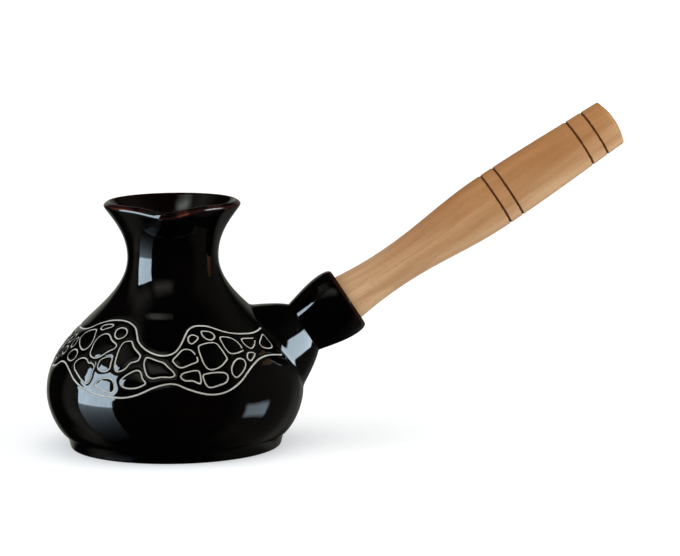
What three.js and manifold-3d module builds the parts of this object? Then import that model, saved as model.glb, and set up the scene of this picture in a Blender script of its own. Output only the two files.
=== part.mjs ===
// Turkish coffee pot for one long-handled brew: a thrown, glazed pot with a pinched spout,
// a thrown socket luted to its shoulder, and a turned wooden handle pushed into the socket.
// Millimetres, +Z up. The origin is the centre of the flat base, and the handle leans over +X.

import * as THREE from 'three';
import { mergeVertices } from 'three/addons/utils/BufferGeometryUtils.js';
import Module from 'manifold-3d';

const DEGREE = Math.PI / 180;

// Pot: outside sizes of the thrown body, from the base up
const FOOT_RADIUS = 48.2;
const FOOT_HEIGHT = 5;
const FOOT_TAPER = 1.2;
const FOOT_EDGE = 1.2;
const BELLY_RADIUS = 57.4;
const BELLY_HEIGHT = 25.4;
const NECK_RADIUS = 20.3;
const NECK_HEIGHT = 85.3;
const RIM_RADIUS = 30.2;
const POT_HEIGHT = 110;

// Pot: how the curves leave those places
const UNDERSIDE_ANGLE = 33 * DEGREE;
const UNDERSIDE_SWEEP = 5.4;
const BELLY_SWEEP_BELOW = 8;
const BELLY_SWEEP_ABOVE = 28.5;
const NECK_SWEEP_BELOW = 22;
const NECK_SWEEP_ABOVE = 10;
const FLARE_ANGLE = 54 * DEGREE;
const FLARE_SWEEP = 6.5;

// Pot: thickness of the clay
const WALL = 4.5;
const LIP_WALL = 3.6;
const FLOOR = 6.5;
const FLOOR_FILLET = 11;

// Spout: a beak pulled out of the front of the rim
const SPOUT_AZIMUTH = -98 * DEGREE;
const SPOUT_HALF_ANGLE = 29 * DEGREE;
const SPOUT_REACH = 6.5;
const SPOUT_OUTER_DIP = 3.4;
const SPOUT_INNER_DIP = 1.3;
const SPOUT_PINCH = 0.8;
const SPOUT_DEPTH = 19;
const SPOUT_TIP_ROUNDING = 0.16;
const PINCH_PLACE = 1.1;
const PINCH_SPREAD = 0.45;

// Socket: its axis leans out of the pot, and its lengths run back from the lip
const HANDLE_LEAN = 32.6 * DEGREE;
const AXIS_HEIGHT = 14.5;
const SOCKET_LENGTH = 33.9;
const SOCKET_LIP_RADIUS = 13.4;
const CUP_RADIUS = 15.6;
const CUP_BACK = 5.6;
const WAIST_RADIUS = 12.3;
const WAIST_BACK = 23.9;
const CUP_FLARE = 13 * DEGREE;
const BALL_FLARE = 43 * DEGREE;
const ROOT_FLARE = 25 * DEGREE;
const ROOT_SINK = 11;
const ROOT_RADIUS = 24.8;
const LIP_SWEEP = 4.2;
const LIP_EASE = 0.9;
const LUTING_GAP = 0.3;

// Bore and tenon: a blind taper that the handle is pushed into
const BORE_RADIUS = 11;
const BORE_DEPTH = 28;
const BORE_TAPER = 3.4;
const BORE_END_FILLET = 2;
const FIT_CLEARANCE = 0.3;
const TENON_END_GAP = 2.5;
const TENON_CHAMFER = 1;

// Handle: lengths run out from the socket's lip
const HANDLE_LENGTH = 143.6;
const GRIP_WAIST_AT = 23.6;
const GRIP_WAIST_RADIUS = 9.15;
const GRIP_SWELL_AT = 77.6;
const GRIP_SWELL_RADIUS = 12.65;
const GRIP_SWEEP = 0.38;
const GRIP_START_SLOPE = -0.12;
const GRIP_END_SLOPE = -0.03;
const HANDLE_END_RADIUS = 10.95;
const HANDLE_END_EDGE = 1.3;
const HANDLE_END_DOME = 1.8;
const RING_WIDTH = 1.1;
const RING_DEPTH = 0.5;
const RINGS_PAST_SWELL = [2, 8.8];
const RINGS_BEFORE_END = [18, 10];

// Fineness of the facets
const POT_SEGMENTS = 60;
const SPOUT_CROWDING = 0.45;
const SOCKET_SEGMENTS = 44;
const HANDLE_SEGMENTS = 36;

const wasm = await Module();
wasm.setup();

const point = (radius, height) => new THREE.Vector2(radius, height);
const direction = (angle) => point(Math.cos(angle), Math.sin(angle));
const step = (from, way, length) => from.clone().addScaledVector(way, length);
const UP = point(0, 1);

// The closed solid of a revolved outline, with +Z as its axis.
function revolve(outline, segments) {
	return new THREE.LatheGeometry(outline, segments).rotateX(Math.PI / 2);
}

// A manifold solid of a closed geometry: equal corners are joined and faces of no area dropped.
function toSolid(geometry) {
	const bare = new THREE.BufferGeometry();
	bare.setAttribute('position', geometry.getAttribute('position').clone());
	bare.setIndex(geometry.getIndex().clone());
	const merged = mergeVertices(bare, 1e-4);
	const corners = merged.getIndex().array;
	const kept = [];
	for (let i = 0; i < corners.length; i += 3) {
		const [a, b, c] = corners.slice(i, i + 3);
		if (a !== b && b !== c && c !== a) kept.push(a, b, c);
	}
	return new wasm.Manifold(new wasm.Mesh({
		numProp: 3,
		vertProperties: merged.getAttribute('position').array,
		triVerts: new Uint32Array(kept),
	}));
}

function toGeometry(solid) {
	const { vertProperties, triVerts, numProp } = solid.getMesh();
	const positions = [];
	for (let i = 0; i < vertProperties.length; i += numProp) {
		positions.push(...vertProperties.slice(i, i + 3));
	}
	const geometry = new THREE.BufferGeometry();
	geometry.setAttribute('position', new THREE.Float32BufferAttribute(positions, 3));
	geometry.setIndex([...triVerts]);
	geometry.computeVertexNormals();
	return geometry;
}

// The outer end of the flare, placed so that the rounded lip tops out at the pot's height and
// reaches the rim's radius.
function flareEnd() {
	const across = direction(FLARE_ANGLE - Math.PI / 2);
	const lipCentre = point(RIM_RADIUS - LIP_WALL / 2, POT_HEIGHT - LIP_WALL / 2);
	return step(lipCentre, across, LIP_WALL / 2);
}

// The pot's outside in three curves that meet upright at the belly and at the neck.
function potCurves() {
	const foot = point(FOOT_RADIUS, FOOT_HEIGHT);
	const belly = point(BELLY_RADIUS, BELLY_HEIGHT);
	const neck = point(NECK_RADIUS, NECK_HEIGHT);
	const rim = flareEnd();
	return {
		underside: new THREE.CubicBezierCurve(
			foot,
			step(foot, direction(UNDERSIDE_ANGLE), UNDERSIDE_SWEEP),
			step(belly, UP, -BELLY_SWEEP_BELOW),
			belly,
		),
		shoulder: new THREE.CubicBezierCurve(
			belly,
			step(belly, UP, BELLY_SWEEP_ABOVE),
			step(neck, UP, -NECK_SWEEP_BELOW),
			neck,
		),
		flare: new THREE.CubicBezierCurve(
			neck,
			step(neck, UP, NECK_SWEEP_ABOVE),
			step(rim, direction(FLARE_ANGLE), -FLARE_SWEEP),
			rim,
		),
	};
}

// The foot's outline from the axis: the flat base, an eased edge and the tapered side.
function footOutline() {
	const baseRadius = FOOT_RADIUS - FOOT_TAPER;
	const edge = new THREE.QuadraticBezierCurve(
		point(baseRadius - FOOT_EDGE, 0),
		point(baseRadius, 0),
		point(baseRadius + FOOT_TAPER * FOOT_EDGE / FOOT_HEIGHT, FOOT_EDGE),
	);
	return [point(0, 0), ...edge.getPoints(3)];
}

// Points of a curve, each moved to its left by a thickness that changes evenly on the way.
function insetPoints(curve, divisions, thicknessAtStart, thicknessAtEnd) {
	const points = [];
	for (let i = 0; i <= divisions; i++) {
		const t = i / divisions;
		const way = curve.getTangent(t);
		const left = point(-way.y, way.x);
		points.push(step(curve.getPoint(t), left, THREE.MathUtils.lerp(thicknessAtStart, thicknessAtEnd, t)));
	}
	return points;
}

// The round lip between the outer and the inner end of the flare.
function lipPoints(outerEnd, divisions) {
	const across = direction(FLARE_ANGLE - Math.PI / 2);
	const centre = step(outerEnd, across, -LIP_WALL / 2);
	const points = [];
	for (let i = 1; i < divisions; i++) {
		const angle = FLARE_ANGLE - Math.PI / 2 + Math.PI * i / divisions;
		points.push(step(centre, direction(angle), LIP_WALL / 2));
	}
	return points;
}

// The inside from the lip down to the centre of the floor.
function insidePoints(curves) {
	const wall = [
		...insetPoints(curves.underside, 5, WALL, WALL),
		...insetPoints(curves.shoulder, 10, WALL, WALL).slice(1),
		...insetPoints(curves.flare, 6, WALL, LIP_WALL).slice(1),
	].filter((place) => place.y > FLOOR + FLOOR_FILLET);
	const lowest = wall[0];
	const corner = new THREE.QuadraticBezierCurve(
		point(lowest.x - FLOOR_FILLET, FLOOR),
		point(lowest.x, FLOOR),
		lowest,
	);
	return [point(0, FLOOR), ...corner.getPoints(4).slice(0, -1), ...wall].reverse();
}

// Draws the front of the rim out and down into a beak and pinches it in on both sides. The
// clay moves with its height, and the outside of the lip dips further than the inside.
function pullSpout(geometry, outline, lipTop) {
	const positions = geometry.getAttribute('position');
	for (let i = 0; i < positions.count; i++) {
		const x = positions.getX(i);
		const y = positions.getY(i);
		const z = positions.getZ(i);
		const plain = Math.atan2(y, x) - SPOUT_AZIMUTH;
		const turned = Math.atan2(Math.sin(plain), Math.cos(plain));
		const turn = turned - SPOUT_CROWDING * Math.sin(turned);
		const off = Math.abs(turn) / SPOUT_HALF_ANGLE;
		const softened = Math.hypot(off, SPOUT_TIP_ROUNDING) - SPOUT_TIP_ROUNDING;
		const beak = Math.max(0, 1 - softened) ** 2;
		const pinch = Math.exp(-(((off - PINCH_PLACE) / PINCH_SPREAD) ** 2));
		const rise = THREE.MathUtils.smoothstep(z, POT_HEIGHT - SPOUT_DEPTH, POT_HEIGHT);
		const outside = i % outline.length < lipTop;
		const dip = outside ? SPOUT_OUTER_DIP : SPOUT_INNER_DIP;
		const radius = Math.hypot(x, y) + rise * (SPOUT_REACH * beak - SPOUT_PINCH * pinch);
		const azimuth = SPOUT_AZIMUTH + turn;
		positions.setXYZ(i, radius * Math.cos(azimuth), radius * Math.sin(azimuth), z - rise * dip * beak);
	}
	return geometry;
}

function makePot(curves) {
	const outside = [
		...footOutline(),
		...curves.underside.getPoints(6),
		...curves.shoulder.getPoints(12).slice(1),
		...curves.flare.getPoints(7).slice(1),
	];
	const lip = lipPoints(curves.flare.v3, 5);
	const outline = [...outside, ...lip, ...insidePoints(curves)];
	const lipTop = outside.length + Math.floor(lip.length / 2);
	return toGeometry(toSolid(pullSpout(revolve(outline, POT_SEGMENTS), outline, lipTop)));
}

// The pot's outside, grown by the luting gap and filled in, which the socket is cut to.
function potEnvelope(curves) {
	const outline = [
		point(0, 0),
		...insetPoints(curves.underside, 9, -LUTING_GAP, -LUTING_GAP),
		...insetPoints(curves.shoulder, 17, -LUTING_GAP, -LUTING_GAP).slice(1),
		point(0, NECK_HEIGHT),
	];
	return revolve(outline, POT_SEGMENTS * 2);
}

// The distance along the leaning axis from the pot's own axis to its outer surface.
function axisExit(curves) {
	const profile = curves.shoulder.getPoints(200);
	const beyond = profile.findIndex((place) => {
		return place.y > AXIS_HEIGHT + place.x * Math.tan(HANDLE_LEAN);
	});
	return profile[beyond].x / Math.cos(HANDLE_LEAN);
}

// The bore's radius at a depth below the lip.
const boreRadiusAt = (depth) => BORE_RADIUS - BORE_TAPER * depth / BORE_DEPTH;

// The socket's outline from the axis at the root, over the ball, the waist and the cup to the
// lip, and down the bore to its blind end.
function socketOutline() {
	const root = point(ROOT_RADIUS, -SOCKET_LENGTH - ROOT_SINK);
	const waist = point(WAIST_RADIUS, -WAIST_BACK);
	const widest = point(CUP_RADIUS, -CUP_BACK);
	const ballLength = waist.y - root.y;
	const cupLength = widest.y - waist.y;
	const ball = new THREE.CubicBezierCurve(
		root,
		step(root, point(-Math.sin(ROOT_FLARE), Math.cos(ROOT_FLARE)), ballLength / 3),
		step(waist, point(Math.sin(BALL_FLARE), -Math.cos(BALL_FLARE)), ballLength / 3),
		waist,
	);
	const cup = new THREE.CubicBezierCurve(
		waist,
		step(waist, point(Math.sin(CUP_FLARE), Math.cos(CUP_FLARE)), cupLength / 3),
		step(widest, UP, -cupLength / 3),
		widest,
	);
	const lip = new THREE.CubicBezierCurve(
		widest,
		step(widest, UP, LIP_SWEEP),
		point((SOCKET_LIP_RADIUS + CUP_RADIUS) / 2, 0),
		point(SOCKET_LIP_RADIUS, 0),
	);
	const mouth = new THREE.QuadraticBezierCurve(
		point(BORE_RADIUS + LIP_EASE, 0),
		point(BORE_RADIUS, 0),
		point(boreRadiusAt(LIP_EASE), -LIP_EASE),
	);
	const wallEnd = BORE_DEPTH - BORE_END_FILLET;
	const end = new THREE.QuadraticBezierCurve(
		point(boreRadiusAt(wallEnd), -wallEnd),
		point(boreRadiusAt(BORE_DEPTH), -BORE_DEPTH),
		point(boreRadiusAt(BORE_DEPTH) - BORE_END_FILLET, -BORE_DEPTH),
	);
	return [
		point(0, root.y),
		...ball.getPoints(8),
		...cup.getPoints(6).slice(1),
		...lip.getPoints(5).slice(1),
		...mouth.getPoints(3),
		...end.getPoints(3),
		point(0, -BORE_DEPTH),
	];
}

function makeSocket(curves, placing) {
	const whole = toSolid(revolve(socketOutline(), SOCKET_SEGMENTS));
	const pot = toSolid(potEnvelope(curves).applyMatrix4(placing.clone().invert()));
	return toGeometry(whole.subtract(pot));
}

// The tapered tenon, a clearance smaller than the bore all the way down.
function tenonOutline() {
	const length = BORE_DEPTH - TENON_END_GAP;
	const tipRadius = boreRadiusAt(length) - FIT_CLEARANCE;
	const chamferEnd = length - TENON_CHAMFER;
	return [
		point(0, -length),
		point(tipRadius - TENON_CHAMFER, -length),
		point(boreRadiusAt(chamferEnd) - FIT_CLEARANCE, -chamferEnd),
		point(boreRadiusAt(LIP_EASE) - FIT_CLEARANCE, -LIP_EASE),
	];
}

// The grip's curves out from the lip: in to a waist, out to a swell, and in to the end.
function gripCurves() {
	const lip = point(BORE_RADIUS - FIT_CLEARANCE, 0);
	const waist = point(GRIP_WAIST_RADIUS, GRIP_WAIST_AT);
	const swell = point(GRIP_SWELL_RADIUS, GRIP_SWELL_AT);
	const end = point(HANDLE_END_RADIUS, HANDLE_LENGTH - HANDLE_END_DOME - HANDLE_END_EDGE);
	const between = (low, high) => (high.y - low.y) * GRIP_SWEEP;
	return [
		new THREE.CubicBezierCurve(
			lip,
			step(lip, point(GRIP_START_SLOPE, 1), between(lip, waist)),
			step(waist, UP, -between(lip, waist)),
			waist,
		),
		new THREE.CubicBezierCurve(
			waist,
			step(waist, UP, between(waist, swell)),
			step(swell, UP, -between(waist, swell)),
			swell,
		),
		new THREE.CubicBezierCurve(
			swell,
			step(swell, UP, between(swell, end)),
			step(end, point(GRIP_END_SLOPE, 1), -between(swell, end)),
			end,
		),
	];
}

// Cuts a V-shaped ring into an outline of points that climb, at each of the burnt rings: some
// are set from the swell and some from the handle's end.
function cutRings(outline) {
	const places = [
		...RINGS_PAST_SWELL.map((distance) => GRIP_SWELL_AT + distance),
		...RINGS_BEFORE_END.map((distance) => HANDLE_LENGTH - distance),
	];
	let cut = outline;
	for (const place of places) {
		const low = place - RING_WIDTH / 2;
		const high = place + RING_WIDTH / 2;
		const after = cut.findIndex((corner) => corner.y > place);
		const before = cut[after - 1];
		const share = (place - before.y) / (cut[after].y - before.y);
		const radius = THREE.MathUtils.lerp(before.x, cut[after].x, share);
		cut = [
			...cut.filter((corner) => corner.y < low),
			point(radius, low),
			point(radius - RING_DEPTH, place),
			point(radius, high),
			...cut.filter((corner) => corner.y > high),
		];
	}
	return cut;
}

function makeHandle() {
	const [neck, grip, tail] = gripCurves();
	const side = [
		...neck.getPoints(5),
		...grip.getPoints(10).slice(1),
		...tail.getPoints(6).slice(1),
	];
	const edge = new THREE.QuadraticBezierCurve(
		side.at(-1),
		point(HANDLE_END_RADIUS, HANDLE_LENGTH - HANDLE_END_DOME),
		point(HANDLE_END_RADIUS - HANDLE_END_EDGE, HANDLE_LENGTH - HANDLE_END_DOME),
	);
	const dome = new THREE.QuadraticBezierCurve(
		edge.v2,
		point(HANDLE_END_RADIUS / 2, HANDLE_LENGTH),
		point(0, HANDLE_LENGTH),
	);
	const outline = [
		...tenonOutline(),
		...cutRings(side),
		...edge.getPoints(3).slice(1),
		...dome.getPoints(4).slice(1),
	];
	return toGeometry(toSolid(revolve(outline, HANDLE_SEGMENTS)));
}

const glaze = new THREE.MeshStandardMaterial({ color: 0x0d0b0a, roughness: 0.12, metalness: 0 });
const beech = new THREE.MeshStandardMaterial({ color: 0xd0a06c, roughness: 0.6, metalness: 0 });

function named(name, geometry, material) {
	const mesh = new THREE.Mesh(geometry, material);
	mesh.name = name;
	return mesh;
}

const curves = potCurves();

// The group in which +Z runs out along the handle, with the socket's lip at its origin
const lipDistance = axisExit(curves) + SOCKET_LENGTH;
const handleGroup = new THREE.Group();
handleGroup.rotation.y = Math.PI / 2 - HANDLE_LEAN;
handleGroup.position.set(
	lipDistance * Math.cos(HANDLE_LEAN),
	0,
	AXIS_HEIGHT + lipDistance * Math.sin(HANDLE_LEAN),
);
handleGroup.updateMatrix();
handleGroup.add(
	named('handle_socket', makeSocket(curves, handleGroup.matrix), glaze.clone()),
	named('wooden_handle', makeHandle(), beech),
);

const coffeePot = new THREE.Group();
coffeePot.add(named('pot_body', makePot(curves), glaze), handleGroup);

export default coffeePot;
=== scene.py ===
"""A black-glazed coffee pot with a carved band of stones, a luted socket and a turned handle.

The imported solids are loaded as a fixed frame, and finer pieces stand in for them. Blender works
in metres; the sizes in the classes are millimetres, as a potter or a turner would measure them.
"""

import logging
import math
from dataclasses import dataclass
from enum import Enum
from functools import cached_property, reduce

import bpy
import numpy as np
from mathutils import Matrix, Vector, noise
from mathutils.geometry import delaunay_2d_cdt


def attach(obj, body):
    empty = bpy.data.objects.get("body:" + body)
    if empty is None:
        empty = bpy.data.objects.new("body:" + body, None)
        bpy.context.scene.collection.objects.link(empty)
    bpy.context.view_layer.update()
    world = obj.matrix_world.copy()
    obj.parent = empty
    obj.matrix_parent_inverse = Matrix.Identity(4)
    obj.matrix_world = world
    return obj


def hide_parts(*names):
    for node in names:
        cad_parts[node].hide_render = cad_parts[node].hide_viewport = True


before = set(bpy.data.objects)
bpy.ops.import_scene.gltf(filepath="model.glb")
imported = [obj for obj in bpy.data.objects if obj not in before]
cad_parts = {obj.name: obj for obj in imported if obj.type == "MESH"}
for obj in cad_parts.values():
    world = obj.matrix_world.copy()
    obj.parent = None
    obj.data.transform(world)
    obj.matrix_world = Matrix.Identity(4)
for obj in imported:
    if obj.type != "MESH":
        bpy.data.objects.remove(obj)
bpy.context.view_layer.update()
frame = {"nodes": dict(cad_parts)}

log = logging.getLogger("coffee_pot")

MM = 0.001
FULL_TURN = 2 * math.pi
QUARTER_TURN = math.pi / 2
Pair = tuple[float, float]
Colour = tuple[float, float, float]
Point = Pair | np.ndarray


def toward(angle: float) -> np.ndarray:
    """The direction at an angle up from straight out."""
    return np.array([math.cos(angle), math.sin(angle)])


def bezier(corners: list[Point], steps: int, first: float = 0, last: float = 1) -> np.ndarray:
    """Points along a cubic curve.

    Args:
        corners: Its four control points.
        steps: How many steps to take.
        first: The share of the curve to start at.
        last: The share to end at.

    Returns:
        An array of steps + 1 points.
    """
    t = np.linspace(first, last, steps + 1)[:, None]
    a, b, c, d = (np.array(corner, float) for corner in corners)
    return (1 - t) ** 3 * a + 3 * (1 - t) ** 2 * t * b + 3 * (1 - t) * t**2 * c + t**3 * d


def swept(start: Point, out: Point, end: Point, into: Point, reach: float,
          steps: int) -> np.ndarray:
    """Points along a cubic curve that leaves and arrives in two given directions.

    Args:
        start: Where it starts.
        out: The direction that it leaves in.
        end: Where it ends.
        into: The direction that it arrives in.
        reach: How far it holds on to each.
        steps: How many steps to take.

    Returns:
        An array of steps + 1 points.
    """
    start, out, end, into = (np.array(item, float) for item in (start, out, end, into))
    return bezier([start, start + out * reach, end - into * reach, end], steps)


def bend(start: Point, corner: Point, end: Point, steps: int) -> np.ndarray:
    """Points along a quadratic curve.

    Args:
        start: Where it starts.
        corner: The point that both ends head for.
        end: Where it ends.
        steps: How many steps to take.

    Returns:
        An array of steps + 1 points.
    """
    t = np.linspace(0, 1, steps + 1)[:, None]
    a, b, c = (np.array(item, float) for item in (start, corner, end))
    return (1 - t) ** 2 * a + 2 * (1 - t) * t * b + t**2 * c


def inset(curve: np.ndarray, start: float, end: float) -> np.ndarray:
    """A curve moved to its left by a thickness that changes evenly from start to end.

    Args:
        curve: Its points.
        start: The thickness at its first point.
        end: The thickness at its last point.

    Returns:
        The moved points.
    """
    way = np.gradient(curve, axis=0)
    way /= np.linalg.norm(way, axis=1)[:, None]
    left = np.stack([-way[:, 1], way[:, 0]], axis=1)
    return curve + left * np.linspace(start, end, len(curve))[:, None]


def smoothstep(value: np.ndarray, low: float, high: float) -> np.ndarray:
    """0 below low, 1 above high and a smooth rise between them."""
    share = np.clip((value - low) / (high - low), 0, 1)
    return share * share * (3 - 2 * share)


def bell(value: np.ndarray, centre: float, width: float) -> np.ndarray:
    """1 at a centre, falling away to 0 on both sides of it."""
    return np.exp(-(((value - centre) / width) ** 2))


def flowing(points: np.ndarray, closed: bool, pace: float) -> np.ndarray:
    """A smooth hand-drawn line through a few points.

    Args:
        points: The points that it passes through.
        closed: Whether it returns to its start.
        pace: The distance between the points of the line.

    Returns:
        The points of the line, with the first repeated at the end where it is closed.
    """
    if closed:
        ring = np.vstack([points[-1:], points, points[:2]])
    else:
        ring = np.vstack([2 * points[:1] - points[1:2], points, 2 * points[-1:] - points[-2:-1]])
    line = []
    for p0, p1, p2, p3 in zip(ring, ring[1:], ring[2:], ring[3:]):
        t1 = math.sqrt(np.linalg.norm(p1 - p0))
        t2 = t1 + math.sqrt(np.linalg.norm(p2 - p1))
        t3 = t2 + math.sqrt(np.linalg.norm(p3 - p2))
        count = max(2, math.ceil(np.linalg.norm(p2 - p1) / pace))
        t = np.linspace(t1, t2, count, endpoint=False)[:, None]
        a1 = (t1 - t) / t1 * p0 + t / t1 * p1
        a2 = (t2 - t) / (t2 - t1) * p1 + (t - t1) / (t2 - t1) * p2
        a3 = (t3 - t) / (t3 - t2) * p2 + (t - t2) / (t3 - t2) * p3
        b1 = (t2 - t) / t2 * a1 + t / t2 * a2
        b2 = (t3 - t) / (t3 - t1) * a2 + (t - t1) / (t3 - t1) * a3
        line.append((t2 - t) / (t2 - t1) * b1 + (t - t1) / (t2 - t1) * b2)
    return np.vstack([*line, ring[-2:-1]])


class Bench:
    """Works one mesh at a time with primitives and edit-mode steps."""

    weld_gap = 2e-6
    seam_gap = 4e-6

    @staticmethod
    def clear() -> None:
        """Leaves edit mode and deselects everything."""
        if bpy.context.object is not None and bpy.context.object.mode != "OBJECT":
            bpy.ops.object.mode_set(mode="OBJECT")
        bpy.ops.object.select_all(action="DESELECT")

    @staticmethod
    def label(name: str) -> bpy.types.Object:
        """Names the object in hand and its mesh.

        Args:
            name: The name.

        Returns:
            The object.
        """
        piece = bpy.context.object
        piece.name = piece.data.name = name
        return piece

    @staticmethod
    def hang(name: str, data: bpy.types.ID) -> bpy.types.Object:
        """Puts a mesh, a lamp or a lens into the scene.

        Args:
            name: The name of its object.
            data: The mesh, lamp or lens.

        Returns:
            The object.
        """
        item = bpy.data.objects.new(name, data)
        bpy.context.scene.collection.objects.link(item)
        return item

    @staticmethod
    def weld(gap: float) -> None:
        """Merges the points that meet, turns the faces outwards and leaves edit mode.

        Args:
            gap: How far apart, in metres, two points may be and still meet.
        """
        bpy.ops.mesh.select_all(action="SELECT")
        bpy.ops.mesh.remove_doubles(threshold=gap)
        bpy.ops.mesh.normals_make_consistent(inside=False)
        bpy.ops.object.mode_set(mode="OBJECT")

    @classmethod
    def turn(cls, name: str, outline: np.ndarray, steps: int) -> bpy.types.Object:
        """Draws an outline point by point and spins it round the Z axis.

        Args:
            name: The name of the piece.
            outline: Its (radius, height) points in millimetres.
            steps: How many steps make a full turn.

        Returns:
            The spun piece, in object mode.
        """
        cls.clear()
        bpy.ops.mesh.primitive_plane_add(size=MM, location=(0, 0, 0))
        piece = cls.label(name)
        places = [Vector((radius * MM, 0, height * MM)) for radius, height in outline]
        bpy.ops.object.mode_set(mode="EDIT")
        bpy.ops.mesh.select_mode(type="VERT")
        bpy.ops.mesh.select_all(action="SELECT")
        bpy.ops.mesh.merge(type="CENTER")
        bpy.ops.transform.translate(value=places[0])
        for here, there in zip(places, places[1:]):
            bpy.ops.mesh.extrude_vertices_move(TRANSFORM_OT_translate={"value": there - here})
        bpy.ops.mesh.select_all(action="SELECT")
        bpy.ops.mesh.spin(steps=steps, angle=FULL_TURN, center=(0, 0, 0), axis=(0, 0, 1))
        cls.weld(cls.weld_gap)
        return piece

    @classmethod
    def join(cls, name: str, parts: list[bpy.types.Object]) -> bpy.types.Object:
        """Joins parts along the edges that they share.

        Args:
            name: The name of the joined piece.
            parts: The parts, whose shared edges have the same points.

        Returns:
            The joined piece, with its faces pointing outwards.
        """
        cls.clear()
        for part in parts:
            part.select_set(True)
        bpy.context.view_layer.objects.active = parts[0]
        bpy.ops.object.join()
        piece = cls.label(name)
        bpy.ops.object.mode_set(mode="EDIT")
        cls.weld(cls.seam_gap)
        return piece

    @classmethod
    def polish(cls, piece: bpy.types.Object) -> None:
        """Shades a piece smooth.

        Args:
            piece: The piece.
        """
        cls.clear()
        piece.select_set(True)
        bpy.context.view_layer.objects.active = piece
        bpy.ops.object.shade_smooth()
        piece.select_set(False)

    @staticmethod
    def read(items: bpy.types.bpy_prop_collection, key: str, width: int = 1) -> np.ndarray:
        """One property of every item of a mesh.

        Args:
            items: Its points, corners, faces or an attribute's values.
            key: The property.
            width: How many numbers each item has: 1 for whole numbers, 3 for places and ways.

        Returns:
            A row for each item.
        """
        flat = np.empty(len(items) * width, np.int32 if width == 1 else np.float32)
        items.foreach_get(key, flat)
        return flat.reshape(-1, width) if width > 1 else flat

    @classmethod
    def places(cls, piece: bpy.types.Object) -> np.ndarray:
        """The points of a piece's mesh, in millimetres."""
        return cls.read(piece.data.vertices, "co", 3).astype(float) / MM

    @staticmethod
    def put(piece: bpy.types.Object, places: np.ndarray) -> None:
        """Moves the points of a piece's mesh to places in millimetres."""
        piece.data.vertices.foreach_set("co", (places * MM).astype(np.float32).ravel())
        piece.data.update()

    @staticmethod
    def tag(piece: bpy.types.Object, name: str, values: np.ndarray) -> None:
        """Gives each point of a piece a number, under a name that its material reads."""
        layer = piece.data.attributes.new(name, "FLOAT", "POINT")
        layer.data.foreach_set("value", np.asarray(values, np.float32))


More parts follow.
